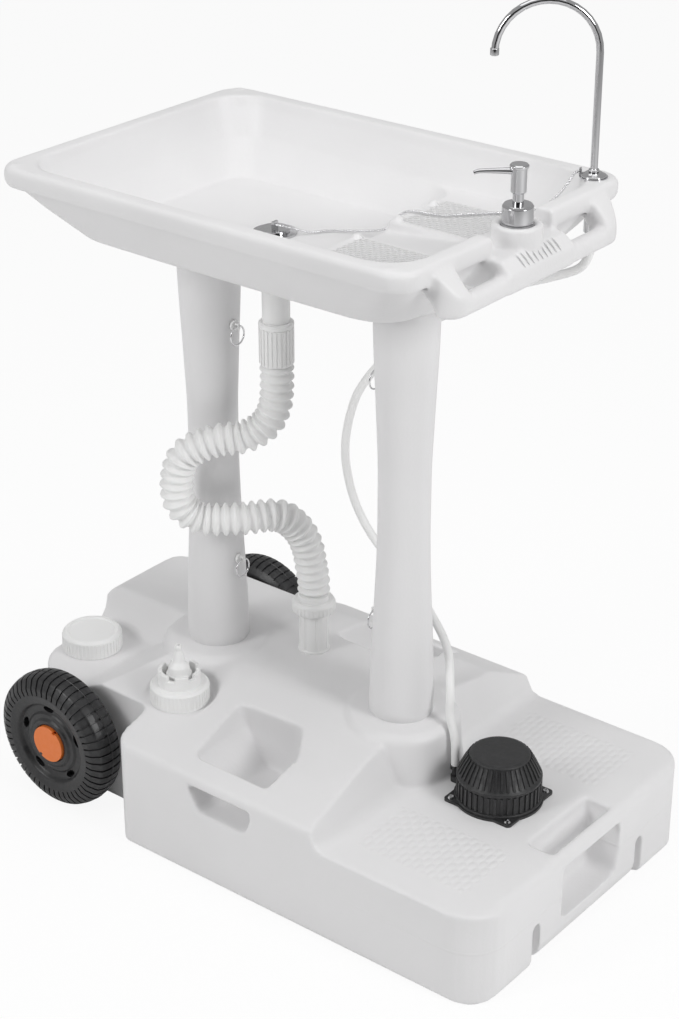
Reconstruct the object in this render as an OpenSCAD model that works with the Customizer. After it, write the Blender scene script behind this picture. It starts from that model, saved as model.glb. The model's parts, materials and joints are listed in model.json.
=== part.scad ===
// Wheeled camp wash stand: a hollow water tank on two wheels and its own foot end, two tapered
// columns locked with pull pins, a double-walled basin tray with a carrying bar, a foot pump,
// a swan-neck faucet, a soap dispenser and a ribbed drain hose.
// Millimetres. +X runs from the wheel end to the foot pump end, +Z is up, and the origin lies
// on the floor under the middle of the tank.

/* [Tank] */
// Length of the tank
tank_l = 750; // [730:5:800]
// Width of the tank
tank_w = 430; // [420:5:460]
// Height of the foot platform round the pump
platform_z = 117; // [112:1:125]
// Height of the raised deck that carries the columns
deck_z = 181; // [176:1:190]
// Height of the deck's long edges
edge_z = 139; // [134:1:145]
// Height of the low nose under the fill cap
nose_z = 139; // [132:1:145]
// Thickness of the tank's wall
tank_wall = 3.5; // [2.5:0.5:5]
// Radius of the two corners at the pump end
end_corner_r = 47; // [30:1:60]
// Height of the seat of the spout cap
spout_seat_z = 156; // [150:1:160]

/* [Carrying recesses] */
// Length of the hand recess in each long side, along its bar
side_recess_l = 100; // [80:5:120]
// Depth of the side recesses below the bar's top
side_recess_depth = 46; // [36:1:60]
// Width of the carrying bars
grip_w = 30; // [22:1:36]
// Width of the hand recess in the pump end
end_recess_w = 120; // [90:5:140]

/* [Wheels] */
// Outer radius of a wheel
wheel_r = 88; // [80:1:95]
// Width of a wheel
wheel_w = 47; // [38:1:50]
// Radius of the steel axle
axle_r = 6; // [4:0.5:8]
// Gap between a wheel's hub and the axle
axle_play = 0.08; // [0.05:0.01:0.1]
// Radius of a hub cap
hub_cap_r = 23.5; // [20:0.5:25]

/* [Columns] */
// Distance between the two columns
column_gap = 284; // [270:2:300]
// Height of the columns
column_h = 505; // [440:5:560]
// Radius of a column at its foot
column_foot_r = 38; // [36:0.5:42]
// Radius of a column at its waist
column_waist_r = 30; // [28:0.5:33]
// Radius of a column at its head
column_head_r = 37; // [36:0.5:41]
// Thickness of a column's wall
column_wall = 2.8; // [2:0.2:4]
// Gap between a column and the post inside it
post_play = 0.4; // [0.2:0.1:0.8]
// Radius of a lock pin's shank
pin_r = 3.5; // [2.5:0.5:4.5]
// Gap round a lock pin
pin_play = 0.1; // [0.05:0.05:0.3]
// Radius of the wire ring on a lock pin, to the wire's centre
ring_r = 11.5; // [9:0.5:14]

/* [Tray] */
// Length of the tray without its carrying bar
tray_l = 560; // [530:5:590]
// Width of the tray
tray_w = 400; // [380:5:420]
// Depth of the basin from the rim to its floor
basin_depth = 83; // [70:1:86]
// Width of the rolled rim
rim_w = 20; // [16:1:24]
// Thickness of the tray's two skins
tray_wall = 3; // [2:0.5:4]
// Depth of the two dish pads below the rim
pad_depth = 46; // [40:1:52]
// Thickness of the carrying bar
bar_t = 22; // [18:1:24]

/* [Drain] */
// Radius of the drain pipe
pipe_r = 16; // [14:0.5:18]
// Outer radius of the drain hose at its ribs
hose_r = 20; // [18:0.5:22]
// Radius of the drain hose between its ribs
hose_valley_r = 14.5; // [13:0.5:16]
// Thickness of the drain hose's wall
hose_wall = 1.5; // [1:0.1:2]
// Number of ribs on the drain hose
hose_ribs = 46; // [36:1:56]

/* [Foot pump] */
// Side of the pump's square flange
flange_side = 92; // [88:1:98]
// Radius of the pump's rubber bulb
bulb_r = 51; // [44:1:51]
// Height of the bulb above the flange
bulb_h = 58; // [50:1:64]
// Travel of the pump
pump_travel = 20; // [14:1:22]
// Radius of the water tube
tube_r = 5; // [4:0.5:5.5]

/* [Caps] */
// Radius of the fill cap
fill_cap_r = 38; // [35:0.5:40]
// Height of the fill cap
fill_cap_h = 25; // [20:1:28]
// Radius of the spout cap
spout_cap_r = 36.5; // [34:0.5:38]
// Gap between a cap and the neck inside it
cap_play = 0.4; // [0.3:0.1:0.8]

/* [Faucet and soap pump] */
// Height of the faucet's top above the rim
faucet_h = 190; // [160:5:220]
// Radius of the faucet's bend, to the pipe's centre
faucet_bend_r = 55; // [45:1:62]
// Radius of the faucet's pipe
faucet_r = 4; // [3.5:0.5:6]
// Radius of the soap pump's collar
collar_r = 16.5; // [14:0.5:18]
// Travel of the soap pump
soap_travel = 10; // [8:1:11]
// Length of the soap pump's spout from its axis
soap_spout_l = 46; // [38:1:60]

/* [Hidden] */
$fn = 64;
eps = 0.01;
arc_steps = 6;

// places that follow from the sizes above
column_mid_x = -35;
wheel_post_x = column_mid_x - column_gap / 2;
pump_post_x = column_mid_x + column_gap / 2;
column_z = deck_z + 2;
column_top = column_z + column_h;
post_l = 137;
pin_low_z = column_z + 116;
pin_high_z = column_top - 86;
tray_rise = 123;
rim_z = column_top + tray_rise;
tray_x0 = column_mid_x + 7 - tray_l / 2;
tray_x1 = tray_x0 + tray_l;
rim_bottom_z = rim_z - 25;
tray_bottom_z = column_top + 9;
floor_z = rim_z - basin_depth;
pad_z = rim_z - pad_depth;
drain_x = column_mid_x - 42;

// corner of an outline: the arc that rounds vertex p between its neighbours a and b
function unit(v) = v / norm(v);
function corner_arc(p, a, b, r) =
    let (ua = unit(a - p),
         ub = unit(b - p),
         half = acos(ua * ub) / 2,
         c = p + unit(ua + ub) * r / sin(half),
         t0 = p + ua * r / tan(half) - c,
         t1 = p + ub * r / tan(half) - c,
         a0 = atan2(t0[1], t0[0]),
         turn = atan2(t0[0] * t1[1] - t0[1] * t1[0], t0 * t1))
    [for (i = [0 : arc_steps])
        c + r * [cos(a0 + turn * i / arc_steps), sin(a0 + turn * i / arc_steps)]];
function xy(v) = [v[0], v[1]];
// outline whose points are [x, y, corner radius]
function rounded(v) =
    let (n = len(v))
    [for (i = [0 : n - 1])
        each (v[i][2] > 0
            ? corner_arc(xy(v[i]), xy(v[(i + n - 1) % n]), xy(v[(i + 1) % n]), v[i][2])
            : [xy(v[i])])];
function smooth(t) = t * t * (3 - 2 * t);

// extrusions of an outline along the other two axes
module along_y(y0, y1) {
    translate([0, y1, 0])
        rotate([90, 0, 0])
            linear_extrude(y1 - y0)
                children();
}
module along_x(x0, x1) {
    translate([x0, 0, 0])
        rotate([90, 0, 90])
            linear_extrude(x1 - x0)
                children();
}
module ring(r_out, r_in, h) {
    difference() {
        cylinder(r = r_out, h = h);
        translate([0, 0, -1])
            cylinder(r = r_in, h = h + 2);
    }
}

// ---------------------------------------------------------------- tank
half_l = tank_l / 2;
half_w = tank_w / 2;
wheel_gap = 17;
bay_gap = 24;
axle_x = 105 - half_l;
bay_x = axle_x + wheel_r + bay_gap;
bay_y = half_w - wheel_gap - wheel_w - 1;
nose_back = 8;
step_top_x = pump_post_x + 21;
step_foot_x = step_top_x + 22;
fill_x = fill_cap_r + 7 - half_l;
nose_wall_y = -24;
fill_y = nose_wall_y - fill_cap_r - 8;
spout_x = bay_x + 18.5;
shoulder_r = 74;
spout_y = -shoulder_r - spout_cap_r - 4;
pump_x = max(half_l - 127, pump_post_x + shoulder_r + bulb_r + 12);
inlet_x = drain_x + 14;
inlet_y = 47;

module tank_plan() {
    polygon(rounded([
        [-half_l + nose_back, -bay_y, 62],
        [bay_x, -bay_y, 14],
        [bay_x, -half_w, 24],
        [half_l, -half_w, end_corner_r],
        [half_l, half_w, end_corner_r],
        [bay_x, half_w, 24],
        [bay_x, bay_y, 14],
        [-half_l, bay_y, 45],
        [-half_l, 6, 8],
        [-half_l + nose_back, -6, 8]]));
}

module tank_side() {
    polygon(rounded([
        [-half_l, 0, 20],
        [half_l, 0, 12],
        [half_l, platform_z, 12],
        [step_foot_x, platform_z, 16],
        [step_top_x, deck_z, 18],
        [-half_l, deck_z, 22]]));
}

module tank_crown() {
    polygon(rounded([
        [-half_w, 0, 8],
        [half_w, 0, 8],
        [half_w, edge_z, 9],
        [bay_y, edge_z + 32, 40],
        [60, deck_z, 60],
        [-30, deck_z, 60],
        [-110, edge_z + 27, 80],
        [-half_w, edge_z, 9]]));
}

// the low nose: everything above it, near the fill cap
module nose_cut(g) {
    intersection() {
        along_y(-half_w - 20, half_w)
            offset(delta = -g)
                polygon(rounded([
                    [-half_l - 60, nose_z, 0],
                    [-half_l + 103, nose_z, 40],
                    [-half_l + 270, deck_z + 40, 0],
                    [-half_l - 60, deck_z + 40, 0]]));
        along_x(-half_l - 60, 0)
            offset(delta = -g)
                polygon(rounded([
                    [-half_w - 20, nose_z, 0],
                    [nose_wall_y, nose_z, 10],
                    [45, deck_z + 40, 0],
                    [-half_w - 20, deck_z + 40, 0]]));
    }
}

// the tank's outer form moved inwards by g
module tank_form(g) {
    difference() {
        intersection() {
            translate([0, 0, g])
                linear_extrude(deck_z + 20)
                    offset(delta = -g)
                        tank_plan();
            along_y(-half_w, half_w)
                offset(delta = -g)
                    tank_side();
            along_x(-half_l, half_l)
                offset(delta = -g)
                    tank_crown();
        }
        nose_cut(-g);
        translate([spout_x, spout_y, spout_seat_z - g])
            cylinder(r1 = spout_cap_r + 6 + g, r2 = spout_cap_r + 18 + g, h = 40);
    }
}

// hand recess in a long side; side is -1 (near) or 1 (far), g grows it
side_recess_x = bay_x + 160;
side_recess_floor = edge_z + 1 - side_recess_depth;
module side_recess(side, g) {
    x0 = side_recess_x - side_recess_l / 2;
    x1 = side_recess_x + side_recess_l / 2;
    intersection() {
        along_y(-half_w - 10, half_w + 10)
            offset(delta = g)
                polygon(rounded([
                    [x0 - 32, deck_z + 30, 0],
                    [x0 - 4, side_recess_floor + 48, 10],
                    [x0 + 26, side_recess_floor, 12],
                    [x1 - 6, side_recess_floor, 12],
                    [x1 + 6, side_recess_floor + 32, 10],
                    [x1 + 6, deck_z + 30, 0]]));
        translate([0, 0, side_recess_floor - 20])
            linear_extrude(deck_z)
                offset(delta = g)
                    scale([1, -side])
                        polygon(rounded([
                            [x0 + 2, -half_w - 30, 0],
                            [x0 + 2, -half_w + 30, 8],
                            [x0 - 32, -half_w + 62, 18],
                            [x0 - 26, -half_w + 122, 32],
                            [x1 - 22, -half_w + 126, 18],
                            [x1 + 6, -half_w + 82, 14],
                            [x1, -half_w - 30, 0]]));
    }
}
module side_bar(side) {
    y0 = side < 0 ? -half_w : half_w - grip_w;
    intersection() {
        tank_form(0);
        along_x(side_recess_x - side_recess_l / 2 - 12, side_recess_x + side_recess_l / 2 + 14)
            polygon(rounded([
                [y0, edge_z - 15, 6],
                [y0 + grip_w, edge_z - 15, 6],
                [y0 + grip_w, edge_z + 12, 10],
                [y0, edge_z + 12, 0]]));
    }
}

// hand recess in the pump end
end_recess_floor = 35;
end_bar_t = 16;
end_bar_h = 17;
end_recess_depth = 48;
module end_recess(g) {
    x0 = half_l - end_recess_depth;
    y1 = end_recess_w / 2;
    intersection() {
        along_x(x0 - 20, half_l + 10)
            offset(delta = g)
                polygon(rounded([
                    [-y1 + 5, end_recess_floor, 10],
                    [y1 - 5, end_recess_floor, 10],
                    [y1 + 2, end_recess_floor + 30, 12],
                    [y1 + 2, deck_z, 0],
                    [-y1 + 5, deck_z, 0]]));
        along_y(-half_w, half_w)
            offset(delta = g)
                polygon(rounded([
                    [x0 + 8, end_recess_floor - 10, 0],
                    [half_l + 10, end_recess_floor - 10, 0],
                    [half_l + 10, deck_z, 0],
                    [x0, deck_z, 0],
                    [x0, platform_z - 20, 16]]));
    }
}
module end_bar() {
    intersection() {
        tank_form(0);
        along_y(-end_recess_w / 2 - 6, end_recess_w / 2 + 10)
            polygon(rounded([
                [half_l - end_bar_t, platform_z - end_bar_h, 6],
                [half_l, platform_z - end_bar_h, 5],
                [half_l, platform_z + 2, 0],
                [half_l - end_bar_t, platform_z + 2, 7]]));
    }
}
// grooves that part the foot end into three feet, and the softer edge of the middle one
notch_w = 13;
notch_h = 56;
notch_y = [-104, 108];
mid_edge_r = 26;
module foot_notches(g) {
    along_y(notch_y[0], notch_y[1])
        offset(delta = g)
            polygon(rounded([
                [half_l + 8, -8, 0],
                [half_l + 8, mid_edge_r, 0],
                [half_l, mid_edge_r, 0],
                [half_l, 0, mid_edge_r - 1],
                [half_l - mid_edge_r, 0, 0],
                [half_l - mid_edge_r, -8, 0]]));
    for (y = notch_y)
        along_x(half_l - 14 - g, half_l + 10)
            offset(delta = g)
                polygon(rounded([
                    [y - notch_w / 2, -10, 0],
                    [y + notch_w / 2, -10, 0],
                    [y + notch_w / 2, notch_h, 5],
                    [y - notch_w / 2, notch_h, 5]]));
}
module recesses(g) {
    side_recess(-1, g);
    side_recess(1, g);
    end_recess(g);
    foot_notches(g);
}

// rounded shoulders under the columns
module shoulder(g) {
    rotate_extrude($fn = 96)
        offset(delta = -g)
            polygon(rounded([
                [0, 60, 0],
                [shoulder_r, 60, 0],
                [shoulder_r, platform_z, 0],
                [shoulder_r - 5, column_z, 13],
                [0, column_z, 0]]));
}

// radius of a column at height z
function column_r(z) =
    let (low = 247 * column_h / 505,
         high = 210 * column_h / 505)
    z < column_z + low
        ? column_foot_r + (column_waist_r - column_foot_r) * smooth(max(0, (z - column_z) / low))
        : column_waist_r + (column_head_r - column_waist_r)
            * smooth(max(0, 1 - (column_top - z) / high));
function post_r(z) = column_r(z) - column_wall - post_play;

// a hollow post between two heights, closed at the end away from the column's mouth
post_steps = 6;
post_skin = 3;
module post_core(z0, z1, g) {
    rotate_extrude()
        polygon(concat(
            [[0, z0], [0, z1]],
            [for (i = [post_steps : -1 : 0])
                let (z = z0 + (z1 - z0) * i / post_steps)
                [post_r(z) - g, z]]));
}

// walls between the clean water and the waste water chamber
waste_x0 = -205;
waste_x1 = 62;
waste_y1 = 72;
module partition() {
    difference() {
        translate([waste_x0, -half_w, 0])
            cube([waste_x1 - waste_x0, half_w + waste_y1, deck_z + 10]);
        translate([waste_x0 + tank_wall, -half_w - 1, -1])
            cube([waste_x1 - waste_x0 - 2 * tank_wall, half_w + waste_y1 - tank_wall + 1,
                  deck_z + 20]);
    }
}

neck_h = 16;
neck_wall = 3;
fill_neck_r = fill_cap_r - 6;
spout_neck_r = spout_cap_r - 6;
inlet_r = 15;
pump_well_r = 36;
screw_at = flange_side / 2 - 7;
screw_r = 2;
screw_l = 14;
axle_tunnel_r = axle_r + 4;

module post_voids() {
    for (x = [wheel_post_x, pump_post_x])
        translate([x, 0, 0]) {
            translate([0, 0, column_z - 20])
                cylinder(r = 22, h = 30);
            post_core(column_z + 4, column_z + post_l - post_skin, post_skin);
        }
}

module tank() {
    color([0.9, 0.9, 0.91])
    difference() {
        union() {
            difference() {
                union() {
                    tank_form(0);
                    for (x = [wheel_post_x, pump_post_x])
                        translate([x, 0, 0])
                            shoulder(0);
                }
                recesses(0);
            }
            side_bar(-1);
            side_bar(1);
            end_bar();
            for (x = [wheel_post_x, pump_post_x])
                translate([x, 0, 0])
                    post_core(column_z - 5, column_z + post_l, 0);
            translate([fill_x, fill_y, nose_z - 1])
                cylinder(r = fill_neck_r, h = neck_h + 1);
            translate([spout_x, spout_y, spout_seat_z - 1])
                cylinder(r = spout_neck_r, h = neck_h + 1);
        }
        difference() {
            union() {
                tank_form(tank_wall);
                for (x = [wheel_post_x, pump_post_x])
                    translate([x, 0, 0])
                        shoulder(tank_wall);
            }
            recesses(tank_wall);
            partition();
            translate([axle_x, -bay_y, wheel_r])
                rotate([-90, 0, 0])
                    cylinder(r = axle_tunnel_r, h = 2 * bay_y);
            for (sx = [-1, 1], sy = [-1, 1])
                translate([pump_x + sx * screw_at, sy * screw_at, platform_z - screw_l - 3])
                    cylinder(r = screw_r + 3, h = screw_l + 3);
        }
        post_voids();
        translate([axle_x, -half_w, wheel_r])
            rotate([-90, 0, 0])
                cylinder(r = axle_r + axle_play, h = tank_w);
        translate([fill_x, fill_y, nose_z - 2 * tank_wall])
            cylinder(r = fill_neck_r - neck_wall, h = neck_h + 40);
        translate([spout_x, spout_y, spout_seat_z - 2 * tank_wall])
            cylinder(r = spout_neck_r - neck_wall, h = neck_h + 40);
        translate([inlet_x, inlet_y, deck_z - 2 * tank_wall])
            cylinder(r = inlet_r, h = 40);
        translate([pump_x, 0, platform_z - 3 * tank_wall])
            cylinder(r = pump_well_r + pin_play, h = 40);
        for (sx = [-1, 1], sy = [-1, 1])
            translate([pump_x + sx * screw_at, sy * screw_at, platform_z - screw_l])
                cylinder(r = screw_r, h = screw_l + 10);
        for (p = [[wheel_post_x, 1], [pump_post_x, -1]])
            translate([p[0], 0, pin_low_z])
                rotate([0, 90 * p[1], 0])
                    cylinder(r = pin_r + pin_play, h = column_foot_r + 10);
    }
}

// ---------------------------------------------------------------- wheels
hub_r = 15;
wheel_y = bay_y + wheel_gap;
spacer_play = 0.4;
web_y0 = 29;
web_y1 = 39;
module wheel_profile() {
    polygon(rounded([
        [axle_r + axle_play, 0, 0],
        [hub_r, 0, 2],
        [hub_r, web_y0, 4],
        [50, web_y0, 4],
        [56, 0, 6],
        [wheel_r - 12, 0, 6],
        [wheel_r - 1, 13, 12],
        [wheel_r, wheel_w / 2, 0],
        [wheel_r - 1, wheel_w - 13, 12],
        [wheel_r - 14, wheel_w, 10],
        [54, wheel_w, 6],
        [49, web_y1, 4],
        [34, web_y1, 3],
        [31, wheel_w - 3, 2],
        [hub_cap_r + 0.3, wheel_w - 3, 1],
        [hub_cap_r + 0.3, web_y1, 0],
        [axle_r + axle_play, web_y1, 0]]));
}
module wheel_hollow() {
    polygon(rounded([
        [60, 3, 5],
        [wheel_r - 14, 3, 5],
        [wheel_r - 4, 14, 9],
        [wheel_r - 4, wheel_w - 14, 9],
        [wheel_r - 16, wheel_w - 3, 8],
        [58, wheel_w - 3, 5]]));
}
slot_count = 5;
module wheel_at(side) {
    translate([axle_x, side * wheel_y, wheel_r])
        rotate([-90 * side, 0, 0])
            children();
}
module wheel(side) {
    color([0.08, 0.08, 0.085])
    wheel_at(side)
        difference() {
            rotate_extrude($fn = 96)
                wheel_profile();
            rotate_extrude($fn = 96)
                wheel_hollow();
            for (i = [0 : slot_count - 1])
                rotate([0, 0, (i + 0.3) * 360 / slot_count])
                    translate([38, -8, web_y0 - 10])
                        cube([8, 16, 30]);
        }
}
hub_cap_t = 4;
module hub_cap(side) {
    color([0.9, 0.36, 0.12])
    wheel_at(side)
        difference() {
            translate([0, 0, web_y1])
                cylinder(r = hub_cap_r, h = wheel_w - web_y1);
            translate([0, 0, web_y1 - 1])
                cylinder(r = hub_cap_r - 2, h = wheel_w - web_y1 - hub_cap_t + 1);
            for (a = [60, 235])
                rotate([0, 0, a])
                    translate([hub_cap_r - 3, -2, wheel_w - hub_cap_t - 1])
                        cube([5, 4, hub_cap_t + 2]);
        }
}
axle_half = wheel_y + wheel_w - 6;
module axle() {
    color([0.6, 0.6, 0.62])
    translate([axle_x, -axle_half, wheel_r])
        rotate([-90, 0, 0])
            cylinder(r = axle_r, h = 2 * axle_half);
}
module axle_spacers() {
    color([0.85, 0.85, 0.85])
    for (side = [-1, 1])
        translate([axle_x, side * (bay_y + spacer_play / 2), wheel_r])
            rotate([-90 * side, 0, 0])
                ring(axle_r + 5, axle_r, wheel_gap - spacer_play);
}
push_nut_t = 1.2;
module push_nuts() {
    color([0.7, 0.7, 0.72])
    for (side = [-1, 1])
        translate([axle_x, side * (wheel_y + web_y1 + 0.3), wheel_r])
            rotate([-90 * side, 0, 0])
                ring(axle_r + 5, axle_r, push_nut_t);
}

// ---------------------------------------------------------------- columns
column_steps = 14;
module column_shape(x, pin_side) {
    difference() {
        translate([x, 0, 0])
            rotate_extrude($fn = 96)
                polygon(concat(
                    [for (i = [0 : column_steps])
                        let (z = column_z + column_h * i / column_steps)
                        [column_r(z), z]],
                    [for (i = [column_steps : -1 : 0])
                        let (z = column_z + column_h * i / column_steps)
                        [column_r(z) - column_wall, z]]));
        for (z = [pin_low_z, pin_high_z])
            translate([x, 0, z])
                rotate([0, 90 * pin_side, 0])
                    cylinder(r = pin_r + pin_play, h = column_foot_r + 10);
    }
}
module column_wheel_end() {
    color([0.88, 0.88, 0.89])
    column_shape(wheel_post_x, 1);
}
module column_pump_end() {
    color([0.88, 0.88, 0.89])
    column_shape(pump_post_x, -1);
}

pin_reach = 14;
pin_head_t = 3;
wire_r = 1;
eye_w = 3;
module pin_frame(x, side, z) {
    translate([x, 0, z])
        rotate([0, 0, side > 0 ? 0 : 180])
            children();
}
// the distance from a column's axis to a pin's eye
function eye_x(z) = column_r(z) + pin_head_t + 4;
module lock_pin(x, side, z) {
    r = column_r(z);
    color([0.8, 0.8, 0.82])
    pin_frame(x, side, z)
        difference() {
            union() {
                translate([r - pin_reach, 0, 0])
                    rotate([0, 90, 0])
                        cylinder(r = pin_r, h = pin_reach + 2);
                translate([r + 0.6, 0, 0])
                    rotate([0, 90, 0])
                        cylinder(r = pin_r + 2.5, h = pin_head_t);
                translate([r + pin_head_t, -eye_w / 2, -3.2])
                    cube([7, eye_w, 6.4]);
            }
            translate([eye_x(z), -10, 0])
                rotate([-90, 0, 0])
                    cylinder(r = wire_r + 0.5, h = 20);
        }
}
module pin_ring(x, side, z) {
    color([0.85, 0.85, 0.87])
    pin_frame(x, side, z)
        translate([eye_x(z), 0, -ring_r])
            rotate([0, 90, 0])
                rotate_extrude()
                    translate([ring_r, 0])
                        circle(r = wire_r, $fn = 16);
}
module pin_wheel_low() { lock_pin(wheel_post_x, 1, pin_low_z); }
module pin_wheel_high() { lock_pin(wheel_post_x, 1, pin_high_z); }
module pin_pump_low() { lock_pin(pump_post_x, -1, pin_low_z); }
module pin_pump_high() { lock_pin(pump_post_x, -1, pin_high_z); }
module ring_wheel_low() { pin_ring(wheel_post_x, 1, pin_low_z); }
module ring_wheel_high() { pin_ring(wheel_post_x, 1, pin_high_z); }
module ring_pump_low() { pin_ring(pump_post_x, -1, pin_low_z); }
module ring_pump_high() { pin_ring(pump_post_x, -1, pin_high_z); }

// ---------------------------------------------------------------- tray
tray_half = tray_w / 2;
rim_corner_r = 28;
pad_l = 124;
pad_x1 = tray_x1 - 68;
pad_x0 = pad_x1 - pad_l;
pad_y0 = 30;
faucet_x = tray_x1 - 26;
faucet_y = tray_half - 30;
soap_x = tray_x1 - 8;
faucet_nut_r = 14;
faucet_nut_h = 10;
faucet_roof_z = rim_z - 30;
boss_r = 26.5;
soap_deck_z = rim_z - 21;
soap_well_r = 17.5;
soap_well_depth = 40;

// thin rounded slab between two x, y limits, a step of the tray's skins
module slab(x0, x1, y, r, z, t) {
    translate([0, 0, z])
        linear_extrude(t)
            polygon(rounded([
                [x0, -y, r],
                [x1, -y, r],
                [x1, y, r],
                [x0, y, r]]));
}
// outer skin of the tray moved inwards by g
module tray_outer(g) {
    // rolled rim: [inset, height below the rim's top]
    hull()
        for (s = [[4, 1], [1, 4], [0, 9], [0, 17], [3, 24]])
            slab(tray_x0 + s[0] + g, tray_x1 - s[0] - g, tray_half - s[0] - g, rim_corner_r,
                 min(rim_z - s[1], rim_z - g - 1), 1);
    // bowl under it: [inset, height above the tray's underside, corner radius]
    hull()
        for (s = [[9, rim_bottom_z - tray_bottom_z + 2, 30], [27, 66, 36], [56, 31, 42],
                  [114, 0, 44]])
            slab(tray_x0 + s[0] + g, tray_x1 - s[0] - g, tray_half - s[0] - g, s[2],
                 tray_bottom_z + s[1] + g, 1);
}
// the basin's hollow grown by g
module basin(g) {
    w = rim_w;
    hull() {
        slab(tray_x0 + w - g, tray_x1 - w + g, tray_half - w + g, 48, rim_z + 2, 1);
        slab(tray_x0 + w + 5 - g, tray_x1 - w - 5 + g, tray_half - w - 5 + g, 44, rim_z - 12, 1);
        slab(tray_x0 + 42 - g, pad_x1 + 4 + g, tray_half - 42 + g, 36, pad_z - g, 1);
    }
    hull() {
        slab(tray_x0 + 42 - g, pad_x0 + g, tray_half - 42 + g, 36, pad_z + 1, 1);
        slab(tray_x0 + 66 - g, pad_x0 - 12 + g, tray_half - 72 + g, 30, floor_z - g, 1);
    }
    along_y(-pad_y0 + 3 - g, pad_y0 - 3 + g)
        polygon([
            [pad_x0 - 20, pad_z - 14 - g],
            [pad_x1 + g, pad_z - g],
            [pad_x1 + g, pad_z + 5],
            [pad_x0 - 20, pad_z + 5]]);
}

// carrying bar with its two arms and the middle block, seen from above
bar_x = tray_x1 + 16.5;
bar_half = 149;
block_half = 60;
module handle_plan() {
    difference() {
        polygon(rounded([
            [tray_x1 - 14, -bar_half - 6, 0],
            [tray_x1 + 8, -bar_half - 6, 12],
            [bar_x + bar_t / 2, -bar_half + 8, 24],
            [bar_x + bar_t / 2, bar_half - 8, 24],
            [tray_x1 + 8, bar_half + 6, 12],
            [tray_x1 - 14, bar_half + 6, 0]]));
        for (s = [-1, 1])
            scale([1, s])
                polygon(rounded([
                    [tray_x1 - 20, block_half, 0],
                    [bar_x - bar_t / 2, block_half, 6],
                    [bar_x - bar_t / 2, bar_half - 24, 12],
                    [tray_x1 - 20, bar_half - 20, 0]]));
    }
}
bar_drop = 45;
bar_z = rim_z - bar_drop;
module handle() {
    intersection() {
        translate([0, 0, rim_z - 80])
            linear_extrude(90)
                handle_plan();
        union() {
            along_y(-tray_half, tray_half)
                polygon(rounded([
                    [bar_x - bar_t / 2, bar_z - bar_t / 2, 8],
                    [bar_x + bar_t / 2, bar_z - bar_t / 2, 9],
                    [bar_x + bar_t / 2, bar_z + bar_t / 2, 9],
                    [bar_x - bar_t / 2, bar_z + bar_t / 2, 8]]));
            // the arms slope down from the rim to the bar
            for (y = [-bar_half - 7, bar_half - 27])
                along_y(y, y + 34)
                    polygon(rounded([
                        [tray_x1 - 14, rim_z - 6, 0],
                        [tray_x1 - 14, rim_bottom_z, 0],
                        [bar_x - bar_t / 2, bar_z - bar_t / 2, 8],
                        [bar_x + bar_t / 2 - 0.5, bar_z - bar_t / 2, 9],
                        [bar_x + bar_t / 2 - 0.5, bar_z + bar_t / 2, 9],
                        [tray_x1 + 5, rim_z - 9, 14]]));
        }
    }
    // block in the middle of the bar, under the soap pump
    along_y(-block_half, block_half)
        polygon(rounded([
            [tray_x1 - 36, bar_z - bar_t / 2, 0],
            [bar_x + bar_t / 2, bar_z - bar_t / 2, 8],
            [bar_x + bar_t / 2, bar_z + bar_t / 2, 6],
            [soap_x + boss_r - 6, soap_deck_z, 8],
            [tray_x1 - 36, soap_deck_z, 0]]));
}

socket_r = 44;
module tray() {
    color([0.9, 0.9, 0.91])
    difference() {
        union() {
            difference() {
                tray_outer(0);
                basin(0);
                // dip in the rim for the soap deck
                translate([tray_x1 - 60, -52, soap_deck_z])
                    cube([80, 104, 60]);
            }
            handle();
            translate([tray_x1 - 50, -52, soap_deck_z - 12])
                cube([40, 104, 12]);
            // raised ring that the soap collar screws into
            translate([soap_x, 0, soap_deck_z - 4])
                cylinder(r = boss_r, h = 25);
            // posts and the flared collars above them
            for (x = [wheel_post_x, pump_post_x])
                translate([x, 0, 0]) {
                    post_core(column_top - post_l + 10, column_top + 4, 0);
                    translate([0, 0, column_top + 0.2])
                        cylinder(r1 = column_head_r + 1, r2 = socket_r, h = 18);
                }
        }
        difference() {
            tray_outer(tray_wall);
            basin(tray_wall);
            translate([tray_x1 - 70, -block_half, soap_deck_z - 60])
                cube([90, 2 * block_half, 120]);
            translate([faucet_x, faucet_y, rim_z - 60])
                cylinder(r = faucet_nut_r + 8, h = 80);
            translate([drain_x, 0, 0])
                cylinder(r = pipe_r + 6, h = rim_z);
        }
        for (x = [wheel_post_x, pump_post_x])
            translate([x, 0, 0])
                post_core(column_top - post_l + 10 + post_skin, column_top + 8, post_skin);
        translate([drain_x, 0, tray_bottom_z - 10])
            cylinder(r = pipe_r, h = 100);
        translate([soap_x, 0, rim_z - soap_well_depth])
            cylinder(r = soap_well_r, h = soap_well_depth + 1);
        translate([faucet_x, faucet_y, rim_z - 90])
            cylinder(r = 8.2, h = 100);
        // pocket for the faucet's nut
        translate([faucet_x, faucet_y, tray_bottom_z])
            cylinder(r = faucet_nut_r + 3, h = faucet_roof_z - tray_bottom_z);
        for (p = [[wheel_post_x, 1], [pump_post_x, -1]])
            translate([p[0], 0, pin_high_z])
                rotate([0, 90 * p[1], 0])
                    cylinder(r = pin_r + pin_play, h = column_foot_r + 10);
    }
}

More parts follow.
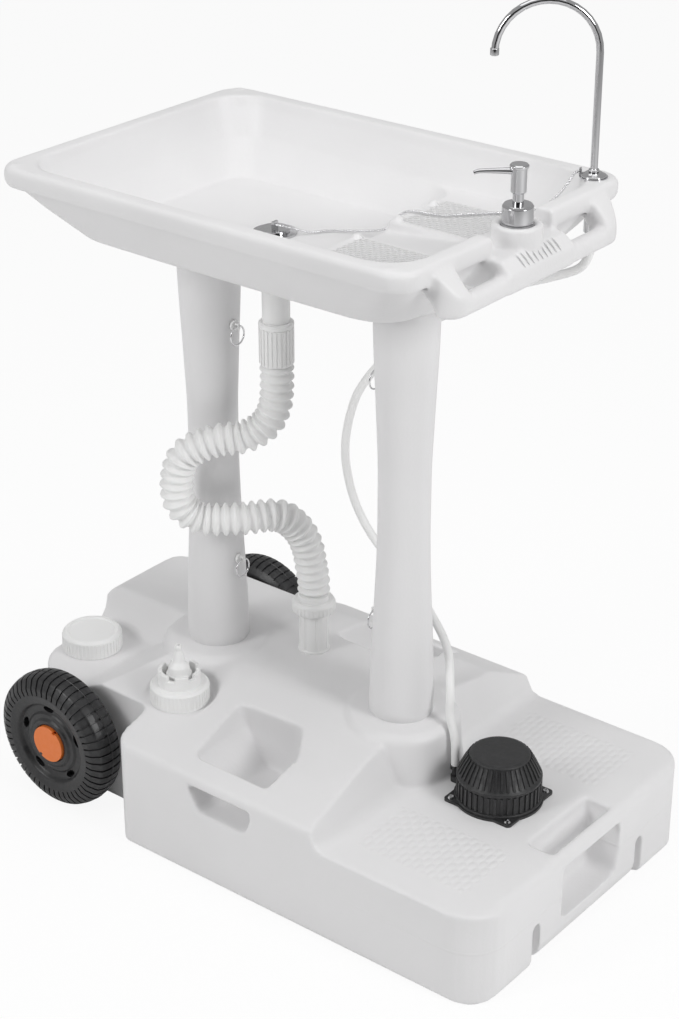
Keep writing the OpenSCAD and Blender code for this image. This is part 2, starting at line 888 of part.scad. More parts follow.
// ---------------------------------------------------------------- drain
strainer_r = 25;
strainer_foot_z = tray_bottom_z - 15;
module drain_strainer() {
    color([0.8, 0.8, 0.82])
    translate([drain_x, 0, 0])
        difference() {
            union() {
                translate([0, 0, floor_z])
                    cylinder(r = strainer_r, h = 2.5);
                translate([0, 0, strainer_foot_z])
                    cylinder(r = pipe_r - 0.1, h = floor_z - strainer_foot_z + 1);
            }
            translate([0, 0, floor_z - 9])
                cylinder(r1 = 11, r2 = 15, h = 12);
            for (a = [0 : 60 : 300])
                rotate([0, 0, a])
                    translate([6, 0, strainer_foot_z])
                        cylinder(r = 2.4, h = 60);
            translate([0, 0, strainer_foot_z - 1])
                cylinder(r = 13, h = 31);
        }
}
drain_nut_h = 12;
module drain_nut() {
    color([0.92, 0.92, 0.92])
    translate([drain_x, 0, tray_bottom_z - drain_nut_h])
        difference() {
            cylinder(r = 24, h = drain_nut_h, $fn = 8);
            translate([0, 0, -1])
                cylinder(r = pipe_r, h = drain_nut_h + 2);
        }
}
pipe_top = strainer_foot_z - 0.1;
nut_top = tray_bottom_z - 73.2;
nut_h = 52;
hose_top_z = nut_top - nut_h;
module drain_pipe() {
    color([0.92, 0.92, 0.92])
    translate([drain_x, 0, 0]) {
        translate([0, 0, hose_top_z])
            ring(pipe_r, pipe_r - 2.5, pipe_top - hose_top_z);
        translate([0, 0, pipe_top - 10])
            ring(pipe_r + 4, pipe_r - 0.2, 10);
    }
}
nut_ribs = 24;
module ribbed_nut(r, r_in, h, ribs) {
    difference() {
        union() {
            cylinder(r = r - 1.2, h = h);
            for (i = [0 : ribs - 1])
                rotate([0, 0, i * 360 / ribs])
                    translate([r - 2, -0.8, 3])
                        cube([2, 1.6, h - 6]);
        }
        translate([0, 0, -1])
            cylinder(r = r_in, h = h + 2);
    }
}
module hose_nut_top() {
    color([0.92, 0.92, 0.92])
    translate([drain_x, 0, hose_top_z])
        ribbed_nut(20.5, pipe_r + 0.1, nut_h, nut_ribs);
}
inlet_top = column_z + 52;
foot_nut_h = 16;
foot_nut_r = 27;
hose_foot_z = inlet_top + foot_nut_h + 7;
module hose_nut_tank() {
    color([0.92, 0.92, 0.92])
    translate([inlet_x, inlet_y, inlet_top])
        difference() {
            union() {
                ribbed_nut(foot_nut_r, hose_valley_r - 1, foot_nut_h, 30);
                translate([0, 0, foot_nut_h])
                    ring(19, hose_valley_r - 1, hose_foot_z - inlet_top - foot_nut_h);
            }
            translate([0, 0, -1])
                cylinder(r = 17.7, h = 11);
        }
}
module waste_spigot() {
    color([0.92, 0.92, 0.92])
    translate([inlet_x, inlet_y, 0])
        difference() {
            union() {
                translate([0, 0, deck_z])
                    cylinder(r = 19.5, h = inlet_top - deck_z - 0.2);
                translate([0, 0, deck_z - 12])
                    cylinder(r = inlet_r - 0.1, h = 14);
                translate([0, 0, inlet_top - 1])
                    cylinder(r = 17.5, h = 10);
            }
            translate([0, 0, deck_z - 20])
                cylinder(r = inlet_r - 3, h = 100);
        }
}

// ribbed hose: it drops from the pipe, swings out towards the near side in front of the
// column and comes back to the tank's spigot
hose_route = [
    [drain_x, 0, hose_top_z], [drain_x, 0, hose_top_z - 26],
    [drain_x - 2, -2, hose_top_z - 54], [drain_x - 11, -9, hose_top_z - 77],
    [drain_x - 30, -24, hose_top_z - 92], [drain_x - 57, -45, hose_top_z - 98],
    [drain_x - 84, -67, hose_top_z - 115], [drain_x - 93, -74, hose_top_z - 147],
    [drain_x - 90, -72, hose_top_z - 180], [drain_x - 72, -58, hose_top_z - 198],
    [drain_x - 36, -29, hose_top_z - 199], [drain_x - 10, 8, hose_top_z - 201],
    [inlet_x - 13, inlet_y - 18, hose_top_z - 220], [inlet_x - 5, inlet_y - 7, hose_top_z - 246],
    [inlet_x - 1, inlet_y - 2, hose_foot_z + 32], [inlet_x, inlet_y, hose_foot_z + 14],
    [inlet_x, inlet_y, hose_foot_z]];

// a smooth curve through a list of points: place t runs from 0 to the last index
function clamped(v, i) = v[max(0, min(len(v) - 1, i))];
function on_curve(v, t) =
    let (i = min(floor(t), len(v) - 2),
         u = t - i,
         a = clamped(v, i - 1), b = v[i], c = v[i + 1], d = clamped(v, i + 2))
    0.5 * (2 * b + (c - a) * u + (2 * a - 5 * b + 4 * c - d) * u * u
        + (3 * b - 3 * c + d - a) * u * u * u);

// points at equal steps along the curve: running lengths, then a search in them
fine = 8;
function fine_points(v) = [for (i = [0 : fine * (len(v) - 1)]) on_curve(v, i / fine)];
function running(p) =
    [for (i = 0, s = 0; i < len(p); s = s + (i < len(p) - 1 ? norm(p[i + 1] - p[i]) : 0), i = i + 1) s];
function at_length(p, s, d) =
    let (i = max([for (k = [0 : len(p) - 2]) if (s[k] <= d + eps) k]),
         u = (d - s[i]) / (s[i + 1] - s[i]))
    p[i] + (p[i + 1] - p[i]) * min(1, u);
function even_points(v, n) =
    let (p = fine_points(v),
         s = running(p),
         total = s[len(s) - 1])
    [for (i = [0 : n]) at_length(p, s, total * i / n)];

// a tube skin: a ring of sides at each centre, square to the path
function heading(c, i) = unit(c[min(len(c) - 1, i + 1)] - c[max(0, i - 1)]);
function ring_points(c, i, r, sides, side_dir) =
    let (h = heading(c, i),
         u = unit(side_dir - h * (side_dir * h)),
         w = cross(h, u))
    [for (k = [0 : sides - 1])
        c[i] + r * (u * cos(360 * k / sides) + w * sin(360 * k / sides))];
module hollow_tube(c, radii, wall, sides, side_dir) {
    n = len(c);
    outer = [for (i = [0 : n - 1]) each ring_points(c, i, radii[i], sides, side_dir)];
    inner = [for (i = [0 : n - 1]) each ring_points(c, i, radii[i] - wall, sides, side_dir)];
    m = n * sides;
    faces = [
        for (i = [0 : n - 2], k = [0 : sides - 1])
            let (a = i * sides + k, b = i * sides + (k + 1) % sides)
            each [[a, a + sides, b + sides], [a, b + sides, b],
                  [m + a, m + b + sides, m + a + sides], [m + a, m + b, m + b + sides]],
        for (k = [0 : sides - 1])
            let (j = (k + 1) % sides)
            each [[k, j, m + j], [k, m + j, m + k],
                  [(n - 1) * sides + k, m + (n - 1) * sides + j, (n - 1) * sides + j],
                  [(n - 1) * sides + k, m + (n - 1) * sides + k, m + (n - 1) * sides + j]]];
    polyhedron(concat(outer, inner), faces);
}
module solid_tube(c, r, sides, side_dir) {
    n = len(c);
    skin = [for (i = [0 : n - 1]) each ring_points(c, i, r, sides, side_dir)];
    faces = [
        for (i = [0 : n - 2], k = [0 : sides - 1])
            let (a = i * sides + k, b = i * sides + (k + 1) % sides)
            each [[a, a + sides, b + sides], [a, b + sides, b]],
        [for (k = [0 : sides - 1]) k],
        [for (k = [sides - 1 : -1 : 0]) (n - 1) * sides + k]];
    polyhedron(skin, faces);
}

module drain_hose() {
    color([0.94, 0.94, 0.93])
    hollow_tube(
        even_points(hose_route, 2 * hose_ribs),
        [for (i = [0 : 2 * hose_ribs])
            i % 2 == 0 ? hose_valley_r : hose_r],
        hose_wall, 8, [-0.62, 0.78, 0]);
}

// stopper on a bead chain
module drain_stopper() {
    color([0.85, 0.85, 0.87])
    translate([drain_x, 0, floor_z])
        difference() {
            union() {
                translate([0, 0, -5.5])
                    cylinder(r1 = 12, r2 = 14, h = 8.4);
                translate([0, 0, 2.9])
                    cylinder(r = 17, h = 3);
                translate([-1.5, -4, 5.9])
                    cube([3, 8, 8]);
            }
            translate([-5, 0, 10])
                rotate([0, 90, 0])
                    cylinder(r = 1.6, h = 10);
        }
}
chain_r = 1.5;
chain_route = [
    [drain_x + 1.8, 0, floor_z + 10], [drain_x + 6, 0, floor_z + 10],
    [drain_x + 20, 6, floor_z + 8], [drain_x + 34, 20, floor_z + 3],
    [drain_x + 48, 40, floor_z + 2.5], [drain_x + 76, 54, floor_z + 4],
    [drain_x + 100, 58, floor_z + 9], [pad_x0 - 20, 58, pad_z - 19],
    [pad_x0 - 7, 60, pad_z - 3], [pad_x0 + 8, 63, pad_z + 2.5], [pad_x0 + 40, 72, pad_z + 2.5],
    [pad_x0 + 76, 110, pad_z + 2.5], [pad_x1 - 22, 132, pad_z + 3], [pad_x1, 140, pad_z + 12],
    [pad_x1 + 19, 142, rim_z - 15], [faucet_x - 18, faucet_y - 22, rim_z - 5],
    [faucet_x - 17, faucet_y - 12, rim_z + 3], [faucet_x - 17, faucet_y - 2, rim_z + 4]];
module bead_chain() {
    color([0.8, 0.8, 0.82])
    solid_tube(even_points(chain_route, 60), chain_r, 8, [0.3, -0.9, 0.31]);
}
module chain_eye() {
    color([0.8, 0.8, 0.82])
    translate([faucet_x, faucet_y, rim_z])
        difference() {
            union() {
                cylinder(r = 15.5, h = 1);
                translate([-17, -3, 0])
                    cube([8, 6, 1]);
                translate([-17.5, -2, 0])
                    cube([1.2, 4, 7]);
            }
            translate([0, 0, -1])
                cylinder(r = 8.2, h = 3);
        }
}

// ---------------------------------------------------------------- faucet
base_h = 5;
base_r = 14;
faucet_top = rim_z + faucet_h;
swivel_z = rim_z + 1;
faucet_turn = -141.5;
module faucet_base() {
    color([0.8, 0.8, 0.82])
    translate([faucet_x, faucet_y, 0])
        difference() {
            union() {
                translate([0, 0, swivel_z])
                    cylinder(r = base_r, h = base_h - 3);
                translate([0, 0, swivel_z + base_h - 3])
                    cylinder(r1 = base_r, r2 = base_r - 4, h = 3);
                translate([0, 0, rim_z - 62])
                    cylinder(r = 8, h = 64);
                translate([0, 0, rim_z - 74])
                    cylinder(r = 3.6, h = 14);
            }
            translate([0, 0, rim_z - 80])
                cylinder(r = 2.4, h = 100);
            translate([0, 0, swivel_z - 4])
                cylinder(r = faucet_r + 0.05, h = 30);
        }
}
module faucet_nut() {
    color([0.85, 0.85, 0.86])
    translate([faucet_x, faucet_y, faucet_roof_z - faucet_nut_h])
        difference() {
            cylinder(r = faucet_nut_r, h = faucet_nut_h, $fn = 6);
            translate([0, 0, -1])
                cylinder(r = 8.05, h = 20);
        }
}
module faucet_spout() {
    drop = 58;
    color([0.85, 0.85, 0.87])
    translate([faucet_x, faucet_y, 0])
        rotate([0, 0, faucet_turn])
            difference() {
                union() {
                    translate([0, 0, swivel_z - 3])
                        cylinder(r = faucet_r, h = faucet_top - faucet_bend_r - swivel_z + 3);
                    translate([faucet_bend_r, 0, faucet_top - faucet_bend_r])
                        rotate([90, 0, 0])
                            rotate_extrude(angle = 180)
                                translate([faucet_bend_r, 0])
                                    circle(r = faucet_r, $fn = 32);
                    translate([2 * faucet_bend_r, 0, faucet_top - drop])
                        cylinder(r = faucet_r, h = drop - faucet_bend_r);
                    translate([2 * faucet_bend_r, 0, faucet_top - drop])
                        cylinder(r = faucet_r + 0.8, h = 8);
                    translate([0, 0, swivel_z + base_h + 0.4])
                        cylinder(r = faucet_r + 1.8, h = 3);
                }
                translate([2 * faucet_bend_r, 0, faucet_top - drop - 1])
                    cylinder(r = faucet_r - 1.2, h = 12);
            }
}

// ---------------------------------------------------------------- soap pump
collar_h = 20;
stem_r = 5.8;
module soap_collar() {
    color([0.82, 0.82, 0.84])
    translate([soap_x, 0, rim_z])
        difference() {
            union() {
                cylinder(r = collar_r, h = collar_h - 2);
                translate([0, 0, collar_h - 2])
                    cylinder(r1 = collar_r, r2 = collar_r - 2, h = 2);
                translate([0, 0, -6])
                    cylinder(r = soap_well_r - 0.1, h = 6);
            }
            translate([0, 0, -7])
                cylinder(r = 9, h = 7 + collar_h - 4);
            cylinder(r = stem_r + 0.1, h = 40);
        }
}
chamber_h = 27;
module soap_chamber() {
    color([0.93, 0.93, 0.92])
    translate([soap_x, 0, rim_z + collar_h - 4 - chamber_h])
        difference() {
            cylinder(r = 8.9, h = chamber_h);
            translate([0, 0, 2])
                cylinder(r = 6.6, h = 40);
            translate([0, 0, -1])
                cylinder(r = 2, h = 10);
        }
}
module soap_dip_tube() {
    color([0.9, 0.9, 0.88])
    translate([soap_x, 0, rim_z - soap_well_depth + 3])
        ring(3, 1.9, soap_well_depth + collar_h - 7 - chamber_h);
}
head_z = rim_z + collar_h + soap_travel + 1.5;
head_h = 30;
module soap_stem() {
    color([0.82, 0.82, 0.84])
    translate([soap_x, 0, rim_z + collar_h - 7])
        difference() {
            union() {
                cylinder(r = 6.4, h = 2.6);
                cylinder(r = stem_r, h = soap_travel + 20);
            }
            translate([0, 0, -1])
                cylinder(r = 1.6, h = 60);
        }
}
module soap_head() {
    color([0.82, 0.82, 0.84])
    translate([soap_x, 0, head_z])
        difference() {
            union() {
                cylinder(r = 8.3, h = head_h - 3);
                translate([0, 0, head_h - 4])
                    cylinder(r = 10, h = 3);
                translate([0, 0, head_h - 1])
                    cylinder(r1 = 10, r2 = 9, h = 1);
                rotate([0, 0, faucet_turn - 180])
                    translate([0, 0, head_h - 7.5]) {
                        rotate([0, -90, 0])
                            cylinder(r1 = 3.6, r2 = 2.2, h = soap_spout_l - 4);
                        translate([-soap_spout_l + 4, 0, 0]) {
                            sphere(r = 2.2);
                            rotate([0, -112, 0])
                                cylinder(r = 2.1, h = 4);
                        }
                    }
            }
            translate([0, 0, -1])
                cylinder(r = stem_r + 0.05, h = 12.6);
        }
}

// a compression spring between two heights, as one unbroken wire
module coil_spring(x, z0, z1, r, wire, turns) {
    steps = 12;
    n = turns * steps;
    translate([x, 0, 0])
        solid_tube(
            [for (i = [0 : n])
                [r * cos(360 * i / steps), r * sin(360 * i / steps), z0 + (z1 - z0) * i / n]],
            wire, 6, [0, 0, 1]);
}
module soap_spring() {
    color([0.7, 0.7, 0.72])
    coil_spring(soap_x, rim_z + collar_h - 1 - chamber_h, rim_z + collar_h - 8, 5.4, 0.6, 5);
}

// ---------------------------------------------------------------- foot pump
flange_t = 3;
pump_z = platform_z + flange_t;
well_h = 30;
plate_t = 4;
outlet_x = pump_x - bulb_r - 8;
outlet_y = -4;
barb_top = platform_z + 30;
module pump_flange() {
    color([0.1, 0.1, 0.1])
    translate([pump_x, 0, 0])
        difference() {
            union() {
                translate([0, 0, platform_z])
                    linear_extrude(flange_t)
                        polygon(rounded([
                            [-flange_side / 2, -flange_side / 2, 5],
                            [flange_side / 2, -flange_side / 2, 5],
                            [flange_side / 2, flange_side / 2, 5],
                            [-flange_side / 2, flange_side / 2, 5]]));
                translate([0, 0, platform_z])
                    cylinder(r = bulb_r + 1, h = flange_t);
                translate([0, 0, platform_z - well_h])
                    cylinder(r = pump_well_r, h = well_h + flange_t);
                translate([outlet_x - pump_x, outlet_y - 5, platform_z])
                    cube([pump_x - bulb_r - 0.2 - outlet_x, 10, 8]);
                translate([outlet_x - pump_x, outlet_y, platform_z])
                    cylinder(r = 5, h = 8);
                translate([outlet_x - pump_x, outlet_y, platform_z])
                    cylinder(r = tube_r - 1.4, h = barb_top - platform_z - 8);
            }
            translate([0, 0, platform_z - well_h + 3])
                cylinder(r = pump_well_r - 3, h = well_h + 10);
            translate([20, 0, platform_z - well_h - 1])
                cylinder(r = 3.2, h = 10);
            translate([outlet_x - pump_x, outlet_y, platform_z + 4])
                cylinder(r = 2, h = 60);
            for (sx = [-1, 1], sy = [-1, 1])
                translate([sx * screw_at, sy * screw_at, platform_z - 1])
                    cylinder(r = screw_r + 0.2, h = 10);
        }
}
module pump_screws() {
    color([0.75, 0.75, 0.77])
    for (sx = [-1, 1], sy = [-1, 1])
        translate([pump_x + sx * screw_at, sy * screw_at, 0])
            difference() {
                union() {
                    translate([0, 0, platform_z - screw_l + 1])
                        cylinder(r = screw_r, h = screw_l + flange_t);
                    translate([0, 0, pump_z])
                        cylinder(r1 = 4, r2 = 2.8, h = 2);
                }
                for (a = [0, 90])
                    rotate([0, 0, a])
                        translate([-2, -0.4, pump_z + 1])
                            cube([4, 0.8, 4]);
            }
}
module bulb_profile(g) {
    polygon(rounded([
        [0, pump_z + (g > 0 ? -5 : 0), 0],
        [bulb_r - g, pump_z + (g > 0 ? -5 : 0), 0],
        [bulb_r - 1 - g, pump_z + bulb_h * 0.52, 9],
        [bulb_r * 0.7 - g, pump_z + bulb_h - g, 5],
        [0, pump_z + bulb_h - g, 0]]));
}
bulb_wall = 2.5;
module pump_bulb() {
    color([0.07, 0.07, 0.07])
    translate([pump_x, 0, 0])
        difference() {
            rotate_extrude($fn = 96)
                bulb_profile(0);
            rotate_extrude($fn = 96)
                bulb_profile(bulb_wall);
        }
}
plate_z = pump_z + bulb_h - bulb_wall - plate_t - 0.3;
module pump_plate() {
    color([0.2, 0.2, 0.2])
    translate([pump_x, 0, 0])
        union() {
            translate([0, 0, plate_z])
                cylinder(r = bulb_r * 0.7 - bulb_wall - 5, h = plate_t);
            translate([0, 0, plate_z - 30])
                cylinder(r = 7, h = 31);
        }
}
module pump_spring() {
    color([0.7, 0.7, 0.72])
    coil_spring(pump_x, platform_z - well_h + 4.4, plate_z - 1.4, 14, 1.3, 7);
}
filter_h = 18;
filter_top = tank_wall + 3 + filter_h;
module suction_tube() {
    color([0.9, 0.9, 0.88])
    translate([pump_x + 20, 0, 0]) {
        translate([0, 0, filter_top - 2])
            ring(3.1, 2, platform_z - well_h - filter_top + 5);
        translate([0, 0, filter_top + 0.1])
            ring(4.6, 3.1, 6);
    }
}
module suction_filter() {
    color([0.2, 0.35, 0.6])
    translate([pump_x + 20, 0, filter_top - filter_h])
        difference() {
            cylinder(r = 9, h = filter_h);
            translate([0, 0, 2])
                cylinder(r = 7, h = filter_h - 4);
            translate([0, 0, 10])
                cylinder(r = 3.2, h = filter_h);
            for (a = [0 : 45 : 315])
                rotate([0, 0, a])
                    translate([5, -1.2, 4])
                        cube([6, 2.4, 10]);
        }
}
tail_z = rim_z - 74;
tube_route = [
    [outlet_x, outlet_y, barb_top - 8], [outlet_x, outlet_y, barb_top + 2],
    [outlet_x - 4, outlet_y + 3, platform_z + 55], [outlet_x - 15, 4, platform_z + 80],
    [168, 12, 222], [144, 38, 258], [103, 58, 285], [64, 64, 318], [31, 58, 345],
    [8, 52, 378], [-9, 50, 416], [-17, 50, 461], [-11, 52, 508], [4, 56, 548],
    [38, 66, 594], [86, 88, 640], [140, 120, 676], [190, 152, 694],
    [216, 167, 706], [faucet_x, faucet_y, tail_z - 12], [faucet_x, faucet_y, tail_z]];
module water_tube() {
    color([0.95, 0.95, 0.94])
    solid_tube(even_points(tube_route, 72), tube_r, 8, [0.25, -0.9, 0.2]);
}
clip_z = barb_top - 8;
module tube_clip() {
    color([0.1, 0.1, 0.1])
    translate([outlet_x, outlet_y, clip_z - 5.2])
        ring(tube_r + 0.6, tube_r - 1.2, 5);
}

// ---------------------------------------------------------------- caps
cap_ribs = 48;
module fill_cap() {
    color([0.95, 0.95, 0.95])
    translate([fill_x, fill_y, nose_z + 0.3])
        difference() {
            union() {
                cylinder(r = fill_cap_r - 0.6, h = fill_cap_h - 3);
                translate([0, 0, fill_cap_h - 3])
                    cylinder(r1 = fill_cap_r - 0.6, r2 = fill_cap_r - 3.5, h = 3);
                for (i = [0 : cap_ribs - 1])
                    rotate([0, 0, i * 360 / cap_ribs])
                        translate([fill_cap_r - 2, -0.9, 1])
                            cube([2, 1.8, fill_cap_h - 7]);
            }
            translate([0, 0, -1])
                cylinder(r = fill_neck_r + cap_play, h = neck_h + 3);
            translate([0, 0, fill_cap_h - 1])
                cylinder(r = fill_cap_r - 8, h = 3);
        }
}
module fill_seal() {
    color([0.3, 0.3, 0.3])
    translate([fill_x, fill_y, nose_z + neck_h + 0.3])
        ring(fill_neck_r, fill_neck_r - 5, 2);
}
tier_h = 22;
spout_tip_h = 74;
module spout_cap() {
    color([0.95, 0.95, 0.95])
    translate([spout_x, spout_y, spout_seat_z + 0.3])
        difference() {
            union() {
                cylinder(r = spout_cap_r - 0.6, h = tier_h);
                translate([0, 0, tier_h])
                    cylinder(r1 = spout_cap_r - 0.6, r2 = spout_cap_r - 3, h = 3);
                translate([0, 0, tier_h])
                    cylinder(r = 26, h = 14);
                for (i = [0 : 11])
                    rotate([0, 0, i * 30])
                        translate([21.5, -4.5, tier_h + 12])
                            cube([4, 9, 8]);
                for (i = [0 : cap_ribs - 1])
                    rotate([0, 0, i * 360 / cap_ribs])
                        translate([spout_cap_r - 2, -0.8, 1])
                            cube([2, 1.6, tier_h - 3]);
            }
            translate([0, 0, -1])
                cylinder(r = spout_neck_r + cap_play, h = neck_h + 3);
            translate([0, 0, tier_h + 5])
                cylinder(r = 20.5, h = 20);
            cylinder(r = 12.1, h = 60);
        }
}
module spout_tip() {
    color([0.96, 0.96, 0.96])
    translate([spout_x, spout_y, spout_seat_z + 0.3])
        difference() {
            union() {
                translate([0, 0, tier_h - 2])
                    cylinder(r = 12, h = 8);
                translate([0, 0, tier_h + 5])
                    cylinder(r = 16, h = 9);
                translate([0, 0, tier_h + 14])
                    cylinder(r1 = 15, r2 = 8, h = 14);
                translate([0, 0, tier_h + 28])
                    cylinder(r1 = 8, r2 = 3.2, h = spout_tip_h - tier_h - 28);
            }
            translate([0, 0, tier_h - 3])
                cylinder(r = 9, h = 12);
            translate([0, 0, tier_h])
                cylinder(r = 1.6, h = 80);
        }
}
module spout_seal() {
    color([0.3, 0.3, 0.3])
    translate([spout_x, spout_y, spout_seat_z + neck_h + 0.3])
        ring(spout_neck_r, spout_neck_r - 5, 2);
}

module wheel_near() { wheel(-1); }
module wheel_far() { wheel(1); }
module hub_cap_near() { hub_cap(-1); }
module hub_cap_far() { hub_cap(1); }

tank();
axle();
axle_spacers();
push_nuts();
wheel_near();
wheel_far();
hub_cap_near();
hub_cap_far();
column_wheel_end();
column_pump_end();
pin_wheel_low();
pin_wheel_high();
pin_pump_low();
pin_pump_high();
ring_wheel_low();
ring_wheel_high();
ring_pump_low();
ring_pump_high();
tray();
drain_strainer();
drain_nut();
drain_pipe();
hose_nut_top();
hose_nut_tank();
waste_spigot();
drain_hose();
drain_stopper();
bead_chain();
chain_eye();
faucet_base();
faucet_nut();
faucet_spout();
soap_collar();
soap_chamber();
soap_dip_tube();
soap_stem();
soap_head();
soap_spring();
pump_flange();
pump_screws();
pump_bulb();
pump_plate();
pump_spring();
suction_tube();
suction_filter();
water_tube();
tube_clip();
fill_cap();
fill_seal();
spout_cap();
spout_tip();
spout_seal();
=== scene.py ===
# %% [markdown]
# # A wheeled camp wash stand
# The CAD model gives every piece its place and size. This file dresses it: a camera at the
# photographer's place, soft light, plastic, rubber and chrome finishes, and new meshes where
# the real piece is rounder or finer than its CAD solid.

# %% Load the CAD frame
import json
import math

import bmesh
import bpy
from mathutils import Matrix, Vector


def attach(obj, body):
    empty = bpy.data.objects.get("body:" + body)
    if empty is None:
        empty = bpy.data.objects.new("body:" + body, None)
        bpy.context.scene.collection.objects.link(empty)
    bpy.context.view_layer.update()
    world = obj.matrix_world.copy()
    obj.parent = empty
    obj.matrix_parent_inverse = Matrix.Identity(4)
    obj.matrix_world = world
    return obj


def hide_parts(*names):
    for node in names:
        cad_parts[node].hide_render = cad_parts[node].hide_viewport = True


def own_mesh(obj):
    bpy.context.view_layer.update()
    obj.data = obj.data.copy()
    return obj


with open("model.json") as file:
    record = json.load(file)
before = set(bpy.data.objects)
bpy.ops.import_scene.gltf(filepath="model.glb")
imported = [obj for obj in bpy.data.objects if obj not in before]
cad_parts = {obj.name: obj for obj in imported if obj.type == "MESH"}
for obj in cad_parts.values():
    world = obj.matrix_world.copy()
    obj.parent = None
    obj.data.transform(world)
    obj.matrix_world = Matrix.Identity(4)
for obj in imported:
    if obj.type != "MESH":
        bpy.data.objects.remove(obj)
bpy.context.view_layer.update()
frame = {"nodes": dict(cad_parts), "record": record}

nodes = frame["nodes"]

# %% [markdown]
# ## Camera
# The photograph is one view from the front right, a little above the tray. Its place was worked
# out from the lines of the tank and the columns, so the render can be laid over it.

# %% Place the camera
CAMERA_AT = (1.4295, -1.7791, 1.5618)
CAMERA_ROUND, CAMERA_DOWN = 38.5, 26.8        # degrees: round from the front, and downwards
LENS = 78.32
camera_data = bpy.data.cameras.new("camera")
camera_data.sensor_width = 36.0
camera_data.lens = LENS
camera = bpy.data.objects.new("camera", camera_data)
camera.location = CAMERA_AT
camera.rotation_euler = (math.radians(90 - CAMERA_DOWN), 0, math.radians(CAMERA_ROUND))
bpy.context.scene.collection.objects.link(camera)
bpy.context.scene.camera = camera
print("camera", CAMERA_AT, "lens", LENS)

# %% [markdown]
# ## Small helpers for modelling
# Every operator works on what is selected, so each step starts by deselecting everything.
# `finish_piece` names a mesh, shades it, gives it its finish and lets it ride on its body.

# %% Selecting, applying and finishing
MM = 0.001           # CAD sizes below are written in millimetres
finishes = {}        # the material of each slot


def only(piece):
    """Make this piece the one selected and active object."""
    if bpy.context.object and bpy.context.object.mode != "OBJECT":
        bpy.ops.object.mode_set(mode="OBJECT")
    bpy.ops.object.select_all(action="DESELECT")
    piece.select_set(True)
    bpy.context.view_layer.objects.active = piece
    return piece


def apply_modifiers(piece):
    only(piece)
    for modifier in list(piece.modifiers):
        bpy.ops.object.modifier_apply(modifier=modifier.name)
    return piece


def apply_place(piece):
    only(piece)
    bpy.ops.object.transform_apply(location=True, rotation=True, scale=True)
    return piece


def join(first, *others):
    """Make one object of several."""
    only(first)
    for piece in others:
        piece.select_set(True)
    bpy.ops.object.join()
    return first


def move(piece, place):
    """Shift a mesh by millimetres."""
    piece.data.transform(Matrix.Translation([v * MM for v in place]))
    return piece


def face_outwards(piece):
    """Merge doubled points and turn every face outwards."""
    only(piece)
    bpy.ops.object.mode_set(mode="EDIT")
    bpy.ops.mesh.select_all(action="SELECT")
    bpy.ops.mesh.remove_doubles(threshold=1e-5)
    bpy.ops.mesh.normals_make_consistent(inside=False)
    bpy.ops.object.mode_set(mode="OBJECT")
    return piece


def finish_piece(piece, name, body, slot, replaced=(), angle=35):
    """Name a piece, shade it smooth up to an angle, tie it to its body and hide the CAD nodes it
    replaces.
    """
    apply_place(piece)
    piece.name = name
    piece.data.name = name
    bpy.ops.object.shade_smooth_by_angle(angle=math.radians(angle))
    piece.data.materials.clear()
    piece.data.materials.append(finishes[slot])
    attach(piece, body)
    if replaced:
        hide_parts(*replaced)
    return piece


def mesh_piece(name, points, faces):
    """A new mesh object from plain lists of points and faces."""
    mesh = bpy.data.meshes.new(name)
    mesh.from_pydata(points, [], faces)
    mesh.validate()
    piece = bpy.data.objects.new(name, mesh)
    bpy.context.scene.collection.objects.link(piece)
    return piece


# %% [markdown]
# ## Writing materials as sums
# A procedural material is a small calculation. `Value` wraps one node output so that
# `1 - mask` or `noise * 0.4` adds the Math nodes, and `Paint.node` adds any other node.

# %% The Value and Paint classes
class Value:
    def __init__(self, paint, socket):
        self.paint = paint
        self.socket = socket

    def maths(self, operation, *numbers, clamp=False):
        return self.paint.node("ShaderNodeMath", *numbers, operation=operation, use_clamp=clamp)

    def __add__(self, other): return self.maths("ADD", self, other)
    def __sub__(self, other): return self.maths("SUBTRACT", self, other)
    def __mul__(self, other): return self.maths("MULTIPLY", self, other)
    def __truediv__(self, other): return self.maths("DIVIDE", self, other)
    def __radd__(self, other): return self.maths("ADD", other, self)
    def __rsub__(self, other): return self.maths("SUBTRACT", other, self)
    def __rmul__(self, other): return self.maths("MULTIPLY", other, self)
    def __abs__(self): return self.maths("ABSOLUTE", self)

    def above(self, edge, soft):
        """0 below the edge, 1 above it, with a soft step between."""
        return self.maths("MULTIPLY_ADD", self, 1.0 / soft, 0.5 - edge / soft, clamp=True)

    def below(self, edge, soft):
        return self.maths("MULTIPLY_ADD", self, -1.0 / soft, 0.5 + edge / soft, clamp=True)

    def between(self, low, high, soft):
        return self.above(low, soft) * self.below(high, soft)

    def floor(self): return self.maths("FLOOR", self)
    def fract(self): return self.maths("FRACT", self)
    def remainder(self, n): return self.maths("FLOORED_MODULO", self, n)
    def higher(self, other): return self.maths("MAXIMUM", self, other)


